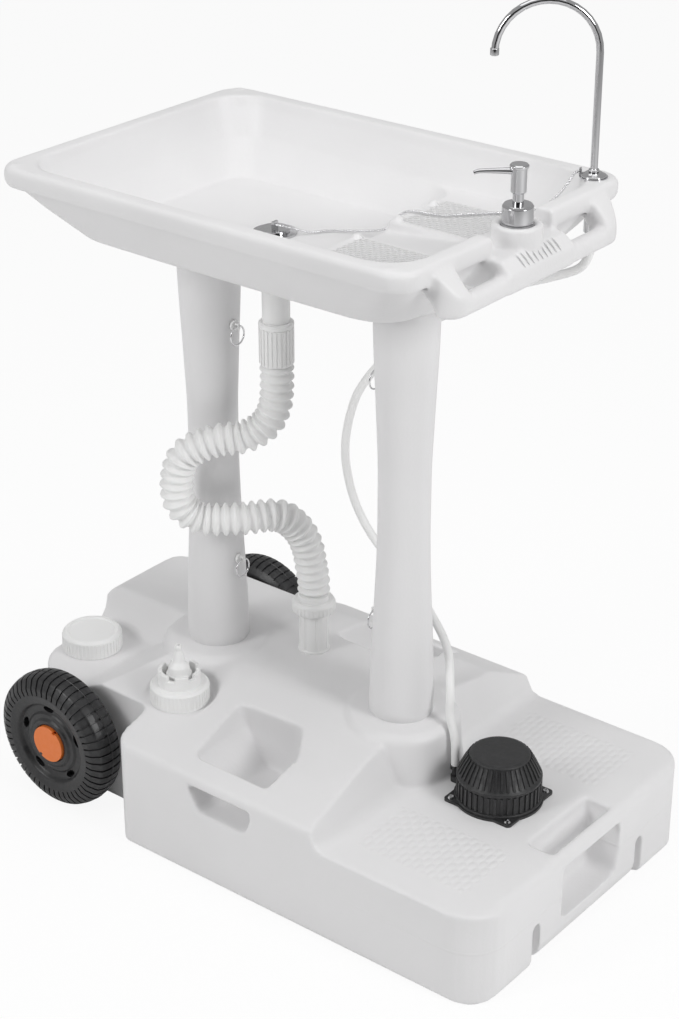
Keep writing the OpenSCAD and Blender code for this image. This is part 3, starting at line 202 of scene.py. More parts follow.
class Paint:
    """One node material. Its principled shader's plain sockets are set straight away."""

    def __init__(self, name, **sockets):
        self.material = bpy.data.materials.new(name)
        self.material.use_nodes = True
        self.tree = self.material.node_tree
        self.shader = self.tree.nodes["Principled BSDF"]
        for socket, value in sockets.items():
            self.shader.inputs[socket.replace("_", " ")].default_value = value

    def node(self, kind, *inputs, output=0, named=None, **settings):
        """Any node: its settings first, then the values or links of its sockets."""
        node = self.tree.nodes.new(kind)
        for key, value in settings.items():
            setattr(node, key, value)
        pairs = list(enumerate(inputs)) + list((named or {}).items())
        for key, value in pairs:
            if isinstance(value, Value):
                self.tree.links.new(value.socket, node.inputs[key])
            elif value is not None:
                node.inputs[key].default_value = value
        return Value(self, node.outputs[output])

    def place(self):
        """The point on the object, in metres."""
        return self.node("ShaderNodeTexCoord", output="Object")

    def axes(self):
        point = self.place()
        return [self.node("ShaderNodeSeparateXYZ", point, output=k) for k in range(3)]

    def noise(self, scale, detail=3.0, rough=0.5):
        return self.node("ShaderNodeTexNoise", named={
            "Vector": self.place(), "Scale": scale, "Detail": detail, "Roughness": rough})

    def mix(self, amount, first, second):
        """Blend two colours, each a plain triple or a Value."""
        triple = lambda c: c if isinstance(c, Value) else (*c, 1)
        return self.node("ShaderNodeMix", output=2, data_type="RGBA",
                         named={0: amount, 6: triple(first), 7: triple(second)})

    def set(self, socket, value):
        self.tree.links.new(value.socket, self.shader.inputs[socket])

    def bump(self, height, depth):
        """Raise the surface by height x depth metres."""
        self.set("Normal", self.node("ShaderNodeBump", named={
            "Strength": 1.0, "Distance": depth, "Height": height}))


print("helpers ready")

# %% [markdown]
# ## White plastics
# Blow-moulded polyethylene is satin and never quite even: it is a little cloudy, its gloss
# varies, and its skin has a fine orange-peel. Noise at three scales gives those three.
# Ovals, dashes and the mould line are bands of the object's own coordinates, in metres.

# %% Blow-moulded white
def moulded(name, colour, rough=0.42):
    """A satin white, a little cloudy in colour and uneven in gloss."""
    paint = Paint(name, Roughness=rough, Specular_IOR_Level=0.42)
    cloud = paint.noise(6.0, 2.0)
    shade = tuple(c * 0.955 for c in colour)
    paint.set("Base Color", paint.mix(cloud.between(0.4, 2.0, 0.35), shade, colour))
    paint.set("Roughness", rough - 0.06 + paint.noise(28.0, 3.0) * 0.14)
    return paint


def finish_of(slot, paint):
    finishes[slot] = paint.material


column = moulded("column_white", (0.83, 0.825, 0.83))
column.bump(column.noise(260.0, 2.0), 0.00016)
finish_of("column_white", column)
skin = moulded("moulded_white", (0.82, 0.815, 0.82))
x, y, z = skin.axes()


def lenses(x, y, long, wide):
    """Rows of small ovals, each row moved on by half: 1 in the middle of an oval, 0 outside."""
    rows = y / wide
    across = rows.fract() - 0.5
    along = (x / long + rows.floor().remainder(2.0) * 0.5).fract() - 0.5
    return (1.0 - (along * along + across * across) * 4.6).higher(0.0)


# ovals on the two dish pads, dashes on the foot platform on both sides of the pump, and the
# mould's parting line round the foot end
on_pads = (z.between(0.7600, 0.7700, 0.002) * x.between(0.072, 0.176, 0.004)
           * abs(y).between(0.034, 0.118, 0.004))
on_steps = (z.between(0.113, 0.121, 0.002) * x.between(0.175, 0.325, 0.004)
            * abs(y).between(0.085, 0.175, 0.004))
pattern = lenses(x, y, 0.0085, 0.0048) * on_pads
dashes = lenses(y, x, 0.016, 0.0085) * on_steps * 0.28
mould_line = z.between(0.0672, 0.0700, 0.002) * x.above(0.24, 0.12) * 0.14
skin.bump(pattern + dashes + mould_line + skin.noise(240.0, 2.0) * 0.08, 0.0021)
finish_of("moulded_white", skin)
fitting = moulded("fitting_white", (0.90, 0.90, 0.895), rough=0.33)
fitting.bump(fitting.noise(180.0, 2.0), 0.00006)
finish_of("fitting_white", fitting)
for slot, tone in (("clear_white", 0.91), ("hose_white", 0.92), ("tube_white", 0.90)):
    thin = moulded(slot, (tone, tone, tone - 0.005), rough=0.36)
    thin.bump(thin.noise(150.0, 2.0), 0.00005)
    finish_of(slot, thin)
print(len(finishes), "white finishes")

# %% [markdown]
# ## Metal, rubber and dark plastic

# %% Chrome and plated steel
def metal(name, colour, rough, streak):
    """A bright metal whose roughness wanders by the streak."""
    paint = Paint(name, Metallic=1.0, Roughness=rough)
    paint.set("Base Color", paint.mix(paint.noise(40.0), tuple(c * 0.94 for c in colour), colour))
    paint.set("Roughness", rough + paint.noise(120.0, 4.0) * streak)
    finish_of(name, paint)


metal("chrome", (0.60, 0.60, 0.61), 0.04, 0.05)
metal("wire_steel", (0.80, 0.80, 0.81), 0.14, 0.1)
metal("plated_steel", (0.55, 0.55, 0.56), 0.28, 0.2)


# %% Black and coloured plastic, rubber
def dark(name, colour, rough, grain, depth, dust=0.02):
    """A coloured plastic or rubber with a fine grain and a little dust."""
    paint = Paint(name, Roughness=rough, Specular_IOR_Level=0.5)
    speck = paint.noise(grain, 3.0, 0.6)
    pale = tuple(c + dust for c in colour)
    paint.set("Base Color", paint.mix(speck.above(0.55, 0.3), colour, pale))
    paint.set("Roughness", rough - 0.08 + speck * 0.2)
    paint.bump(speck, depth)
    finish_of(name, paint)


dark("wheel_black", (0.016, 0.016, 0.017), 0.36, 160.0, 0.0003, 0.012)
dark("hub_orange", (0.80, 0.19, 0.03), 0.42, 130.0, 0.0002)
dark("pump_black", (0.022, 0.022, 0.023), 0.40, 200.0, 0.0002, 0.012)
dark("bulb_rubber", (0.020, 0.020, 0.021), 0.42, 200.0, 0.0002, 0.012)
dark("filter_blue", (0.05, 0.10, 0.24), 0.5, 200.0, 0.0002)
dark("seal_rubber", (0.05, 0.05, 0.05), 0.6, 200.0, 0.0002)
print(len(finishes), "finishes")

# %% Paint the CAD nodes
slot_of = {row["node"]: row["material_slot"] for row in frame["record"]["subparts"]}
for name, node in nodes.items():
    node.data.materials.clear()
    node.data.materials.append(finishes[slot_of[name]])
print("painted", len(slot_of), "nodes")

# %% [markdown]
# ## Hose, water tube and chain
# These three hang between two fixed ends. Each route is a handful of points in millimetres,
# the same as in the CAD model and turned to metres, with a smooth curve through them.

# %% Smooth routes
def metres(knots):
    return [tuple(v * MM for v in knot) for knot in knots]


def route_points(knots, count):
    """Points at even steps on a smooth curve through the knots."""
    knots = [Vector(k) for k in knots]
    at = lambda i: knots[max(0, min(len(knots) - 1, i))]
    fine = []
    for i in range(len(knots) - 1):
        a, b, c, d = at(i - 1), at(i), at(i + 1), at(i + 2)
        for k in range(8):
            u = k / 8
            fine.append(0.5 * (2 * b + (c - a) * u + (2 * a - 5 * b + 4 * c - d) * u * u
                               + (3 * b - 3 * c + d - a) * u ** 3))
    fine.append(knots[-1])
    run = [0.0]
    for p, q in zip(fine, fine[1:]):
        run.append(run[-1] + (q - p).length)
    points, k = [], 0
    for i in range(count + 1):
        goal = run[-1] * i / count
        while k < len(run) - 2 and run[k + 1] < goal:
            k += 1
        share = min(1, (goal - run[k]) / (run[k + 1] - run[k]))
        points.append(fine[k].lerp(fine[k + 1], share))
    return points, run[-1]


def swept(name, points, radii, sides, across, inner=None):
    """A tube skin round the points, with one radius for each. inner gives it a bore."""
    rings = []
    for layer in (radii, inner) if inner else (radii,):
        for i, p in enumerate(points):
            ahead = (points[min(len(points) - 1, i + 1)] - points[max(0, i - 1)]).normalized()
            u = (across - ahead * across.dot(ahead)).normalized()
            w = ahead.cross(u)
            rings.append([p + layer[i] * (u * math.cos(2 * math.pi * k / sides)
                                          + w * math.sin(2 * math.pi * k / sides))
                          for k in range(sides)])
    n, faces = len(points), []
    ring = lambda i, k: i * sides + k % sides
    for i in range(n - 1):
        for k in range(sides):
            faces.append((ring(i, k), ring(i, k + 1), ring(i + 1, k + 1), ring(i + 1, k)))
            if inner:
                faces.append((ring(n + i, k + 1), ring(n + i, k),
                              ring(n + i + 1, k), ring(n + i + 1, k + 1)))
    if inner:
        for k in range(sides):
            faces.append((ring(0, k + 1), ring(0, k), ring(n, k), ring(n, k + 1)))
            faces.append((ring(n - 1, k), ring(n - 1, k + 1),
                          ring(2 * n - 1, k + 1), ring(2 * n - 1, k)))
    else:
        faces.append([ring(0, k) for k in range(sides - 1, -1, -1)])
        faces.append([ring(n - 1, k) for k in range(sides)])
    return mesh_piece(name, [v for r in rings for v in r], faces)


# %% The ribbed drain hose
DRAIN_X, HOSE_TOP = -77, 571.8
INLET_X, INLET_Y, HOSE_FOOT = -63, 47, 258
HOSE_DROPS = [
    (0, 0, 0), (0, 0, -26), (-2, -2, -54), (-11, -9, -77), (-30, -24, -92), (-57, -45, -98),
    (-84, -67, -115), (-93, -74, -147), (-90, -72, -180), (-72, -58, -198), (-36, -29, -199),
    (-10, 8, -201), (1, 29, -220), (9, 40, -246)]
hose_knots = [(DRAIN_X + x, y, HOSE_TOP + z) for x, y, z in HOSE_DROPS]
hose_knots += [(INLET_X - 1, INLET_Y - 2, HOSE_FOOT + 32), (INLET_X, INLET_Y, HOSE_FOOT + 14),
               (INLET_X, INLET_Y, HOSE_FOOT)]
hose_knots = metres(hose_knots)
HOSE_RIBS, HOSE_WALL = 46, 0.0012
RIB_SHAPE = [14.6, 15.0, 16.9, 19.3, 20.0, 19.3, 16.9, 15.0]
hose_line, hose_length = route_points(hose_knots, HOSE_RIBS * len(RIB_SHAPE))
hose_radii = [RIB_SHAPE[i % len(RIB_SHAPE)] * MM for i in range(len(hose_line))]
hose_bore = [r - HOSE_WALL for r in hose_radii]
hose = swept("drain_hose_skin", hose_line, hose_radii, 32, Vector((-0.62, 0.78, 0)), hose_bore)
finish_piece(hose, "ribbed_hose", "stand", "hose_white", ["drain_hose"], angle=60)
print("hose", round(hose_length, 4), "m,", len(hose.data.polygons), "faces")

# %% The water tube
TUBE_ACROSS = 0.010
TUBE_KNOTS = [
    (189, -4, 139), (189, -4, 149), (185, -1, 172), (174, 4, 197), (168, 12, 222),
    (144, 38, 258), (103, 58, 285), (64, 64, 318), (31, 58, 345), (8, 52, 378), (-9, 50, 416),
    (-17, 50, 461), (-11, 52, 508), (4, 56, 548), (38, 66, 594), (86, 88, 640),
    (140, 120, 676), (190, 152, 694), (216, 167, 706), (226, 170, 725), (226, 170, 737)]
tube_knots = metres(TUBE_KNOTS)
tube_line, tube_length = route_points(tube_knots, 240)
tube = swept("water_tube_skin", tube_line, [TUBE_ACROSS / 2] * len(tube_line), 20,
             Vector((0.25, -0.9, 0.2)))
finish_piece(tube, "water_supply_tube", "stand", "tube_white", ["water_tube"], angle=60)
print("water tube", round(tube_length, 4), "m")

# %% The bead chain
CHAIN_KNOTS = [
    (-75.2, 0, 738), (-71, 0, 738), (-57, 6, 736), (-43, 20, 731), (-29, 40, 730.5),
    (-1, 54, 732), (23, 58, 737), (40, 58, 746), (53, 60, 762), (68, 63, 767.5), (100, 72, 767.5),
    (136, 110, 767.5), (162, 132, 768), (184, 140, 777), (203, 142, 796), (208, 148, 806),
    (209, 158, 814), (209, 168, 815)]
chain_knots = metres(CHAIN_KNOTS)
BEADS, BEAD_ACROSS = 106, 0.0033
chain_line, chain_length = route_points(chain_knots, BEADS * 2)


def bead_mesh(radius):
    """One ball, as points round the origin and faces."""
    ball = bmesh.new()
    bmesh.ops.create_icosphere(ball, subdivisions=2, radius=radius)
    points = [v.co.copy() for v in ball.verts]
    faces = [[v.index for v in f.verts] for f in ball.faces]
    ball.free()
    return points, faces


ball_points, ball_faces = bead_mesh(BEAD_ACROSS / 2)
wire = swept("chain_wire", chain_line, [0.0005] * len(chain_line), 6, Vector((0.3, -0.9, 0.31)))
points = [v.co.copy() for v in wire.data.vertices]
faces = [list(f.vertices) for f in wire.data.polygons]
bpy.data.objects.remove(wire)
for centre in chain_line[1::2]:
    first = len(points)
    points += [centre + p for p in ball_points]
    faces += [[first + i for i in f] for f in ball_faces]
chain = mesh_piece("beads", points, faces)
finish_piece(chain, "ball_chain", "stand", "wire_steel", ["bead_chain"], angle=60)
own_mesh(chain)
print("chain", round(chain_length, 4), "m,", BEADS, "beads")

# %% [markdown]
# ## Blow-moulded shells
# The tank and the tray are blown like bottles, so no edge on them is sharp. The CAD solid
# gets that look in three steps: it is rebuilt from small voxels, the even new mesh is relaxed,
# and the triangles that flat places don't need are taken out again.

# %% Copy a CAD solid and round it
def cad_copy(node, name):
    """A free copy of a CAD solid with its loose triangles merged."""
    piece = nodes[node].copy()
    piece.data = nodes[node].data.copy()
    piece.parent = None
    piece.matrix_world = Matrix.Identity(4)
    piece.name = name
    for key in list(piece.keys()):
        del piece[key]
    bpy.context.scene.collection.objects.link(piece)
    only(piece)
    bpy.ops.object.mode_set(mode="EDIT")
    bpy.ops.mesh.select_all(action="SELECT")
    bpy.ops.mesh.remove_doubles(threshold=1e-6)
    bpy.ops.object.mode_set(mode="OBJECT")
    return piece


def rod(at, radius, length, along="Z", sides=40):
    """A round bar in millimetres, used to fill or to cut a hole in a shell."""
    turn = {"X": (0, math.pi / 2, 0), "Y": (math.pi / 2, 0, 0), "Z": (0, 0, 0)}[along]
    bpy.ops.object.select_all(action="DESELECT")
    bpy.ops.mesh.primitive_cylinder_add(vertices=sides, radius=radius * MM, depth=length * MM,
                                        location=[v * MM for v in at], rotation=turn)
    return apply_place(bpy.context.object)


def blown(node, name, added, voxel, rounds, keep):
    """The node's outer skin as one soft mesh. added are bars joined in before the rebuild."""
    piece = join(cad_copy(node, name), *added)
    rebuild = piece.modifiers.new("rebuild", "REMESH")
    rebuild.mode = "VOXEL"
    rebuild.voxel_size = voxel * MM
    apply_modifiers(piece)
    bpy.ops.object.mode_set(mode="EDIT")
    bpy.ops.mesh.select_all(action="SELECT")
    bpy.ops.mesh.separate(type="LOOSE")
    bpy.ops.object.mode_set(mode="OBJECT")
    shells = sorted(bpy.context.selected_objects, key=lambda o: -len(o.data.vertices))
    outer = max(shells, key=lambda o: o.dimensions.x * o.dimensions.y)
    for shell in shells:
        if shell is not outer:
            bpy.data.objects.remove(shell)
    relax = outer.modifiers.new("relax", "SMOOTH")
    relax.factor = 0.5
    relax.iterations = rounds
    if keep < 1:
        outer.modifiers.new("thin out", "DECIMATE").ratio = keep
    apply_modifiers(outer)
    print(name, len(outer.data.polygons), "faces")
    return outer


def cut_out(piece, *tools):
    """Take each tool's shape away from the piece."""
    for tool in tools:
        cut = piece.modifiers.new("cut", "BOOLEAN")
        cut.operation = "DIFFERENCE"
        cut.solver = "EXACT"
        cut.object = tool
        apply_modifiers(piece)
        bpy.data.objects.remove(tool)
    return piece


# %% The tank
WHEEL_POST, PUMP_POST = -177, 107       # the columns' middles along the tank
PIN_LOW, PIN_HIGH = 299, 602            # the lock pins' heights
FILL, SPOUT = (-330, -70, 139), (-139.5, -114.5, 156)
tank_fill = [
    rod((FILL[0], FILL[1], FILL[2] + 5), 30.5, 22),
    rod((SPOUT[0], SPOUT[1], SPOUT[2] + 5), 29, 22),
    rod((INLET_X, INLET_Y, 176), 16, 8),
    rod((248, 0, 112), 38, 9),
    rod((WHEEL_POST + 27, 0, PIN_LOW), 5, 14, "X"),
    rod((PUMP_POST - 27, 0, PIN_LOW), 5, 14, "X")]
tank = blown("tank", "tank_shell", tank_fill, 2.5, 7, 0.38)
cut_out(tank,
        rod((FILL[0], FILL[1], FILL[2] - 33), 29, 100),
        rod((SPOUT[0], SPOUT[1], SPOUT[2] - 33), 27.5, 100))
finish_piece(tank, "tank_shell", "stand", "moulded_white", ["tank"], angle=50)

# %% The tray
tray_fill = [
    rod((WHEEL_POST + 27, 0, PIN_HIGH), 5, 14, "X"),
    rod((PUMP_POST - 27, 0, PIN_HIGH), 5, 14, "X")]
tray_fill += [rod((67, y, 766), 5, 8) for y in (-100, -36, 36, 100)]
tray_fill += [rod((x, y, 809), 6, 6) for x, y in ((-288, -186), (-288, 186), (224, -187))]
tray = blown("tray", "tray_shell", tray_fill, 2.3, 7, 0.55)
# the bar and its two arms are rounder still
only(tray)
bpy.ops.object.mode_set(mode="EDIT")
bpy.ops.mesh.select_mode(type="VERT")
bpy.ops.mesh.select_all(action="DESELECT")
mesh = bmesh.from_edit_mesh(tray.data)
for v in mesh.verts:
    v.select = v.co.x > 0.246 and abs(v.co.y) > 0.056 and 0.74 < v.co.z < 0.806
mesh.select_flush_mode()
bmesh.update_edit_mesh(tray.data)
bpy.ops.mesh.vertices_smooth(factor=0.5, repeat=14)
bpy.ops.object.mode_set(mode="OBJECT")
finish_piece(tray, "tray_shell", "stand", "moulded_white", ["tray"], angle=50)

# %% [markdown]
# ## Turned pieces
# Columns, caps, nuts, wheels and the pump's bulb are all round. Each is a profile of radius
# and height with rounded corners, spun about an axis. Ribs and grooves come from picking
# every few faces round the axis and pushing them in or out.

# %% Spin a profile
def rounded_profile(points, steps=5):
    """Points (radius, height, corner radius) in millimetres as a line with rounded corners."""
    line = []
    for i, (x, y, r) in enumerate(points):
        p = Vector((x, y))
        if not r or i in (0, len(points) - 1):
            line.append(p)
            continue
        a = (Vector(points[i - 1][:2]) - p)
        b = (Vector(points[i + 1][:2]) - p)
        half = a.angle(b) / 2
        reach = min(r / math.tan(half), 0.48 * a.length, 0.48 * b.length)
        ua, ub = a.normalized(), b.normalized()
        start, end = p + ua * reach, p + ub * reach
        for k in range(steps + 1):
            t = k / steps
            line.append(start * (1 - t) ** 2 + p * 2 * t * (1 - t) + end * t * t)
    return line


def turned(name, points, steps=64, at=(0, 0, 0), corner_steps=5):
    """Spin the profile about Z, then move it to its place (millimetres)."""
    line = rounded_profile(points, corner_steps)
    piece = mesh_piece(name, [(p.x * MM, 0, p.y * MM) for p in line], [])
    mesh = piece.data
    mesh.edges.add(len(line) - 1)
    for k, edge in enumerate(mesh.edges):
        edge.vertices = (k, k + 1)
    only(piece)
    bpy.ops.object.mode_set(mode="EDIT")
    bpy.ops.mesh.select_all(action="SELECT")
    bpy.ops.mesh.spin(steps=steps, angle=2 * math.pi, center=(0, 0, 0), axis=(0, 0, 1))
    bpy.ops.object.mode_set(mode="OBJECT")
    face_outwards(piece)
    return move(piece, at)


def sector(point, steps):
    """Which of the spin's steps a point lies in."""
    return int(((math.atan2(point.y, point.x) / (2 * math.pi)) % 1) * steps)


def pick(piece, wanted):
    """Select the faces whose centre and normal pass the test, and count them."""
    only(piece)
    bpy.ops.object.mode_set(mode="EDIT")
    bpy.ops.mesh.select_mode(type="FACE")
    bpy.ops.mesh.select_all(action="DESELECT")
    mesh = bmesh.from_edit_mesh(piece.data)
    count = 0
    for face in mesh.faces:
        if wanted(face.calc_center_median(), face.normal):
            face.select = True
            count += 1
    mesh.select_flush_mode()
    bmesh.update_edit_mesh(piece.data)
    return count


def press(piece, wanted, border, depth):
    """Inset the picked faces by a border and push them out, or in where depth is negative."""
    if pick(piece, wanted):
        bpy.ops.mesh.inset(thickness=border * MM, use_boundary=True)
        bpy.ops.transform.shrink_fatten(value=depth * MM, use_even_offset=False)
    bpy.ops.object.mode_set(mode="OBJECT")


# %% The two columns
COLUMN_FOOT, COLUMN_WAIST, COLUMN_TOP = 183, 430, 688
FOOT_R, WAIST_R, TOP_R = 38, 30, 37
TOP_FLARE = 210


def column_radius(z):
    """The column narrows from its foot to its waist and widens again below its top."""
    smooth = lambda t: t * t * (3 - 2 * t)
    if z < COLUMN_WAIST:
        share = max(0, (z - COLUMN_FOOT) / (COLUMN_WAIST - COLUMN_FOOT))
        return FOOT_R - (FOOT_R - WAIST_R) * smooth(share)
    return WAIST_R + (TOP_R - WAIST_R) * smooth(max(0, 1 - (COLUMN_TOP - z) / TOP_FLARE))


column_rise = [COLUMN_FOOT + (COLUMN_TOP - COLUMN_FOOT) * i / 36 for i in range(37)]
column_profile = [(column_radius(z), z, 0) for z in column_rise]
column_profile[0] = (36.6, COLUMN_FOOT, 0)
column_profile.insert(1, (FOOT_R, 184.6, 0))
column_profile[-1] = (TOP_R, 687.2, 0)
column_profile += [(36.2, COLUMN_TOP, 0), (34.2, COLUMN_TOP, 0), (34.2, 600, 0),
                   (27.2, COLUMN_WAIST, 0), (35.2, COLUMN_FOOT, 0), (36.6, COLUMN_FOOT, 0)]
for end, x in (("wheel", WHEEL_POST), ("pump", PUMP_POST)):
    piece = turned("column", column_profile, 72, at=(x, 0, 0))
    finish_piece(piece, f"column_skin_{end}_end", "stand", "column_white",
                 [f"column_{end}_end"], angle=50)
print("columns", len(piece.data.polygons), "faces each")

# %% [markdown]
# ## Wheels
# Each wheel is one hollow moulding: a rounded tread with some fifty blocks, a thin mould line
# round its middle, a dished face with five slots and a ring round the orange cap.

# %% A wheel
BLOCKS, SLOTS = 50, 5
WHEEL_PROFILE = [
    (6.1, 0, 0), (15, 0, 2), (15, 29, 4), (50, 29, 4), (56, 0, 6), (74, 0, 9), (84.5, 7, 7),
    (87.2, 16, 6), (87.4, 23, 0), (88, 23.5, 0), (87.4, 24, 0), (87.2, 31, 6), (84.5, 40, 7),
    (73, 46.6, 9), (64, 47, 6), (53, 45, 5), (49, 39, 4), (41, 39, 3), (38, 41.5, 2),
    (33, 41.5, 2), (30, 44, 2), (25, 44, 1.5), (24, 42.5, 0), (23.8, 39, 0), (6.1, 39, 0),
    (6.1, 0, 0)]


def wheel(side, name):
    """One wheel: the tread's grooves pressed in, the slots cut out, then turned to its axle."""
    steps = BLOCKS * 4
    piece = turned(name, WHEEL_PROFILE, steps, corner_steps=4)
    groove = lambda c, n: (math.hypot(c.x, c.y) > 0.0665 and c.z > 0.004
                           and abs(c.z - 0.0235) > 0.0008 and sector(c, steps) % 4 == 0)
    press(piece, groove, 0.25, -1.9)
    for k in range(SLOTS):
        angle = 2 * math.pi * (k + 0.3) / SLOTS
        slot = rod((0, 0, 0), 4.5, 18, "Z", 24)
        slot.data.transform(Matrix.Diagonal((0.9, 1.9, 1, 1)))
        slot.data.transform(Matrix.Rotation(angle, 4, "Z")
                            @ Matrix.Translation((0.045, 0, 0.040)))
        cut_out(piece, slot)
    # from the spin's axis Z to the axle: the open face looks away from the tank
    piece.data.transform(Matrix.Translation((-0.270, side * 0.167, 0.088))
                         @ Matrix.Rotation(-side * math.pi / 2, 4, "X"))
    return piece


for side, place in ((-1, "near"), (1, "far")):
    tyre = wheel(side, f"wheel_{place}_moulding")
    finish_piece(tyre, f"wheel_{place}_moulding", f"wheel_{place}", "wheel_black",
                 [f"wheel_{place}"], angle=32)
print("wheels", len(tyre.data.polygons), "faces each")

# %% [markdown]
# ## Foot pump
# The bulb is a rubber bellows with upright ribs that run on over its sloping shoulder to a
# pebbled crown.

# %% The pump's bulb
BULB_RIBS = 40
PUMP_X, BULB_FOOT, BULB_TALL, PUMP_TRAVEL, SOAP_TRAVEL = 248, 120, 58, 20, 10


def pump_bulb():
    profile = [(0, 120, 0), (50.6, 120, 0), (50.6, 123, 1), (48, 124, 0), (48, 146, 0),
               (49.6, 147.5, 1), (49.6, 150.5, 2), (46.5, 153, 0), (41, 164.5, 8),
               (35.2, 174.6, 0), (34.6, 177, 1.5), (31, 177.8, 2), (0, 178, 0)]
    piece = turned("bulb", profile, BULB_RIBS * 4)
    rib = lambda c, n: ((0.1535 < c.z < 0.1745 or 0.1245 < c.z < 0.1455) and abs(n.z) < 0.95
                        and sector(c, BULB_RIBS * 4) % 4 in (0, 1))
    press(piece, rib, 0.3, 1.5)
    return move(piece, (PUMP_X, 0, 0))


bulb = pump_bulb()
finish_piece(bulb, "bulb_skin", "stand", "bulb_rubber", ["pump_bulb"], angle=40)
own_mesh(bulb)
print("bulb", len(bulb.data.polygons), "faces")


# %% The springs under the two pump heads
def spring(node):
    """A copy of the CAD spring, finished as plated steel and tied to the stand."""
    coil = cad_copy(node, node + "_coil")
    finish_piece(coil, node + "_coil", "stand", "plated_steel", [node], angle=60)
    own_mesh(coil)


spring("pump_spring")
spring("soap_spring")

# %% [markdown]
# ## Caps, nuts and spigot
# The same two tools make the screw fittings: a turned profile, then upright ribs or petals
# pressed out of it.

# %% A turned piece with ribs
def ribbed(name, profile, ribs, low, high, depth, at, wide=1):
    """Spin the profile and press every third sector of its side out between two heights."""
    steps = ribs * 3
    piece = turned(name, profile, steps, corner_steps=3)
    radius = max(p[0] for p in profile) - 2
    side = lambda c, n: (math.hypot(c.x, c.y) > radius * MM and low * MM < c.z < high * MM
                         and abs(n.z) < 0.3 and sector(c, steps) % 3 < wide)
    press(piece, side, 0.12, depth)
    return move(piece, at)


# %% Fill cap and spout cap
fill_profile = [(0, 22.8, 0), (28.6, 22.8, 1), (30, 24.9, 1), (33.4, 25, 1), (37.2, 21.6, 3),
                (37.2, 0.3, 0.5), (32.6, 0, 0), (32.6, 18, 0), (0, 18, 0)]
cap = ribbed("cap", fill_profile, 48, 1, 19, 0.7, (FILL[0], FILL[1], FILL[2] + 0.3))
finish_piece(cap, "fill_cap_skin", "fill_cap", "fitting_white", ["fill_cap"])

spout_profile = [(12.3, 22.4, 0), (20.6, 22.4, 0), (20.6, 35.4, 0), (21.8, 36, 0), (24.6, 36, 0),
                 (25.8, 34.8, 0), (25.8, 23.2, 1), (32.6, 23.6, 1), (35.6, 20.6, 2), (35.6, 1.2, 0),
                 (36.3, 0.2, 0.5), (31, 0, 0), (31, 18, 0), (12.3, 18, 0), (12.3, 22.4, 0)]
cap = ribbed("cap", spout_profile, 48, 2, 18, 0.5, (0, 0, 0))
petal = lambda c, n: (n.z > 0.6 and c.z > 0.0353 and sector(c, 144) % 24 < 15)
pick(cap, petal)
bpy.ops.mesh.inset(thickness=0.3 * MM, use_boundary=True)
bpy.ops.transform.translate(value=(0, 0, 5.8 * MM))
bpy.ops.object.mode_set(mode="OBJECT")
move(cap, (SPOUT[0], SPOUT[1], SPOUT[2] + 0.3))
finish_piece(cap, "spout_cap_skin", "spout_cap", "fitting_white", ["spout_cap"])

tip_profile = [(0, 20, 0), (12, 20, 0), (12, 27, 0), (15.6, 27, 0.8), (15.6, 36, 1.5),
               (14, 37.4, 1), (12.2, 46, 4), (7.4, 52, 3), (5.8, 61, 2), (3.4, 67, 1.5),
               (4.6, 70.4, 2), (3.6, 74, 1), (1.9, 73.6, 0), (1.9, 54, 0), (0, 54, 0)]
tip = turned("tip", tip_profile, 48, at=(SPOUT[0], SPOUT[1], SPOUT[2] + 0.3))
finish_piece(tip, "spout_tip_skin", "spout_cap", "clear_white", ["spout_tip"], angle=50)

# %% Nuts and spigot of the hose
top_profile = [(16.1, 0, 0), (18.6, 0, 0.8), (19.2, 2, 0), (19.2, 45, 0), (20.4, 46.5, 1),
               (20.4, 50.5, 1.2), (18.6, 52, 0), (16.1, 52, 0), (16.1, 0, 0)]
nut = ribbed("nut", top_profile, 24, 3, 44, 1.1, (DRAIN_X, 0, HOSE_TOP), wide=2)
finish_piece(nut, "hose_nut_top_skin", "stand", "fitting_white", ["hose_nut_top"])

foot_profile = [(17.8, 0, 0), (25.4, 0, 1), (26.4, 2, 0), (26.4, 12, 4), (23.8, 15.8, 1.5),
                (20.6, 15.2, 0.5), (19, 15.6, 0), (18.6, 22.4, 1), (13.6, 23, 0), (13.6, 9, 0),
                (17.8, 9, 0), (17.8, 0, 0)]
nut = ribbed("nut", foot_profile, 30, 2.5, 11, 0.35, (INLET_X, INLET_Y, 235), wide=2)
finish_piece(nut, "hose_nut_tank_skin", "stand", "fitting_white", ["hose_nut_tank"], angle=45)

spigot_profile = [(12.2, 169, 0), (14.8, 169, 0), (14.8, 180.4, 0), (19.4, 180.6, 0.8),
                  (19.2, 183, 1), (18.2, 184.4, 0), (17.8, 234.7, 0.6), (17.4, 234.8, 0),
                  (17.4, 243.9, 0.6), (12.2, 243.9, 0), (12.2, 169, 0)]
spigot = turned("spigot", spigot_profile, 48, corner_steps=2)
flute = lambda c, n: (0.185 < c.z < 0.234 and math.hypot(c.x, c.y) > 0.0174
                      and sector(c, 48) % 6 == 0)
press(spigot, flute, 0.4, -0.5)
move(spigot, (INLET_X, INLET_Y, 0))
finish_piece(spigot, "waste_spigot_skin", "stand", "fitting_white", ["waste_spigot"])
print("caps, nuts and spigot ready")

# %% [markdown]
# ## Faucet, soap pump and stopper
# The bright pieces: turned bodies with small bevels, and pipes swept along their bends.

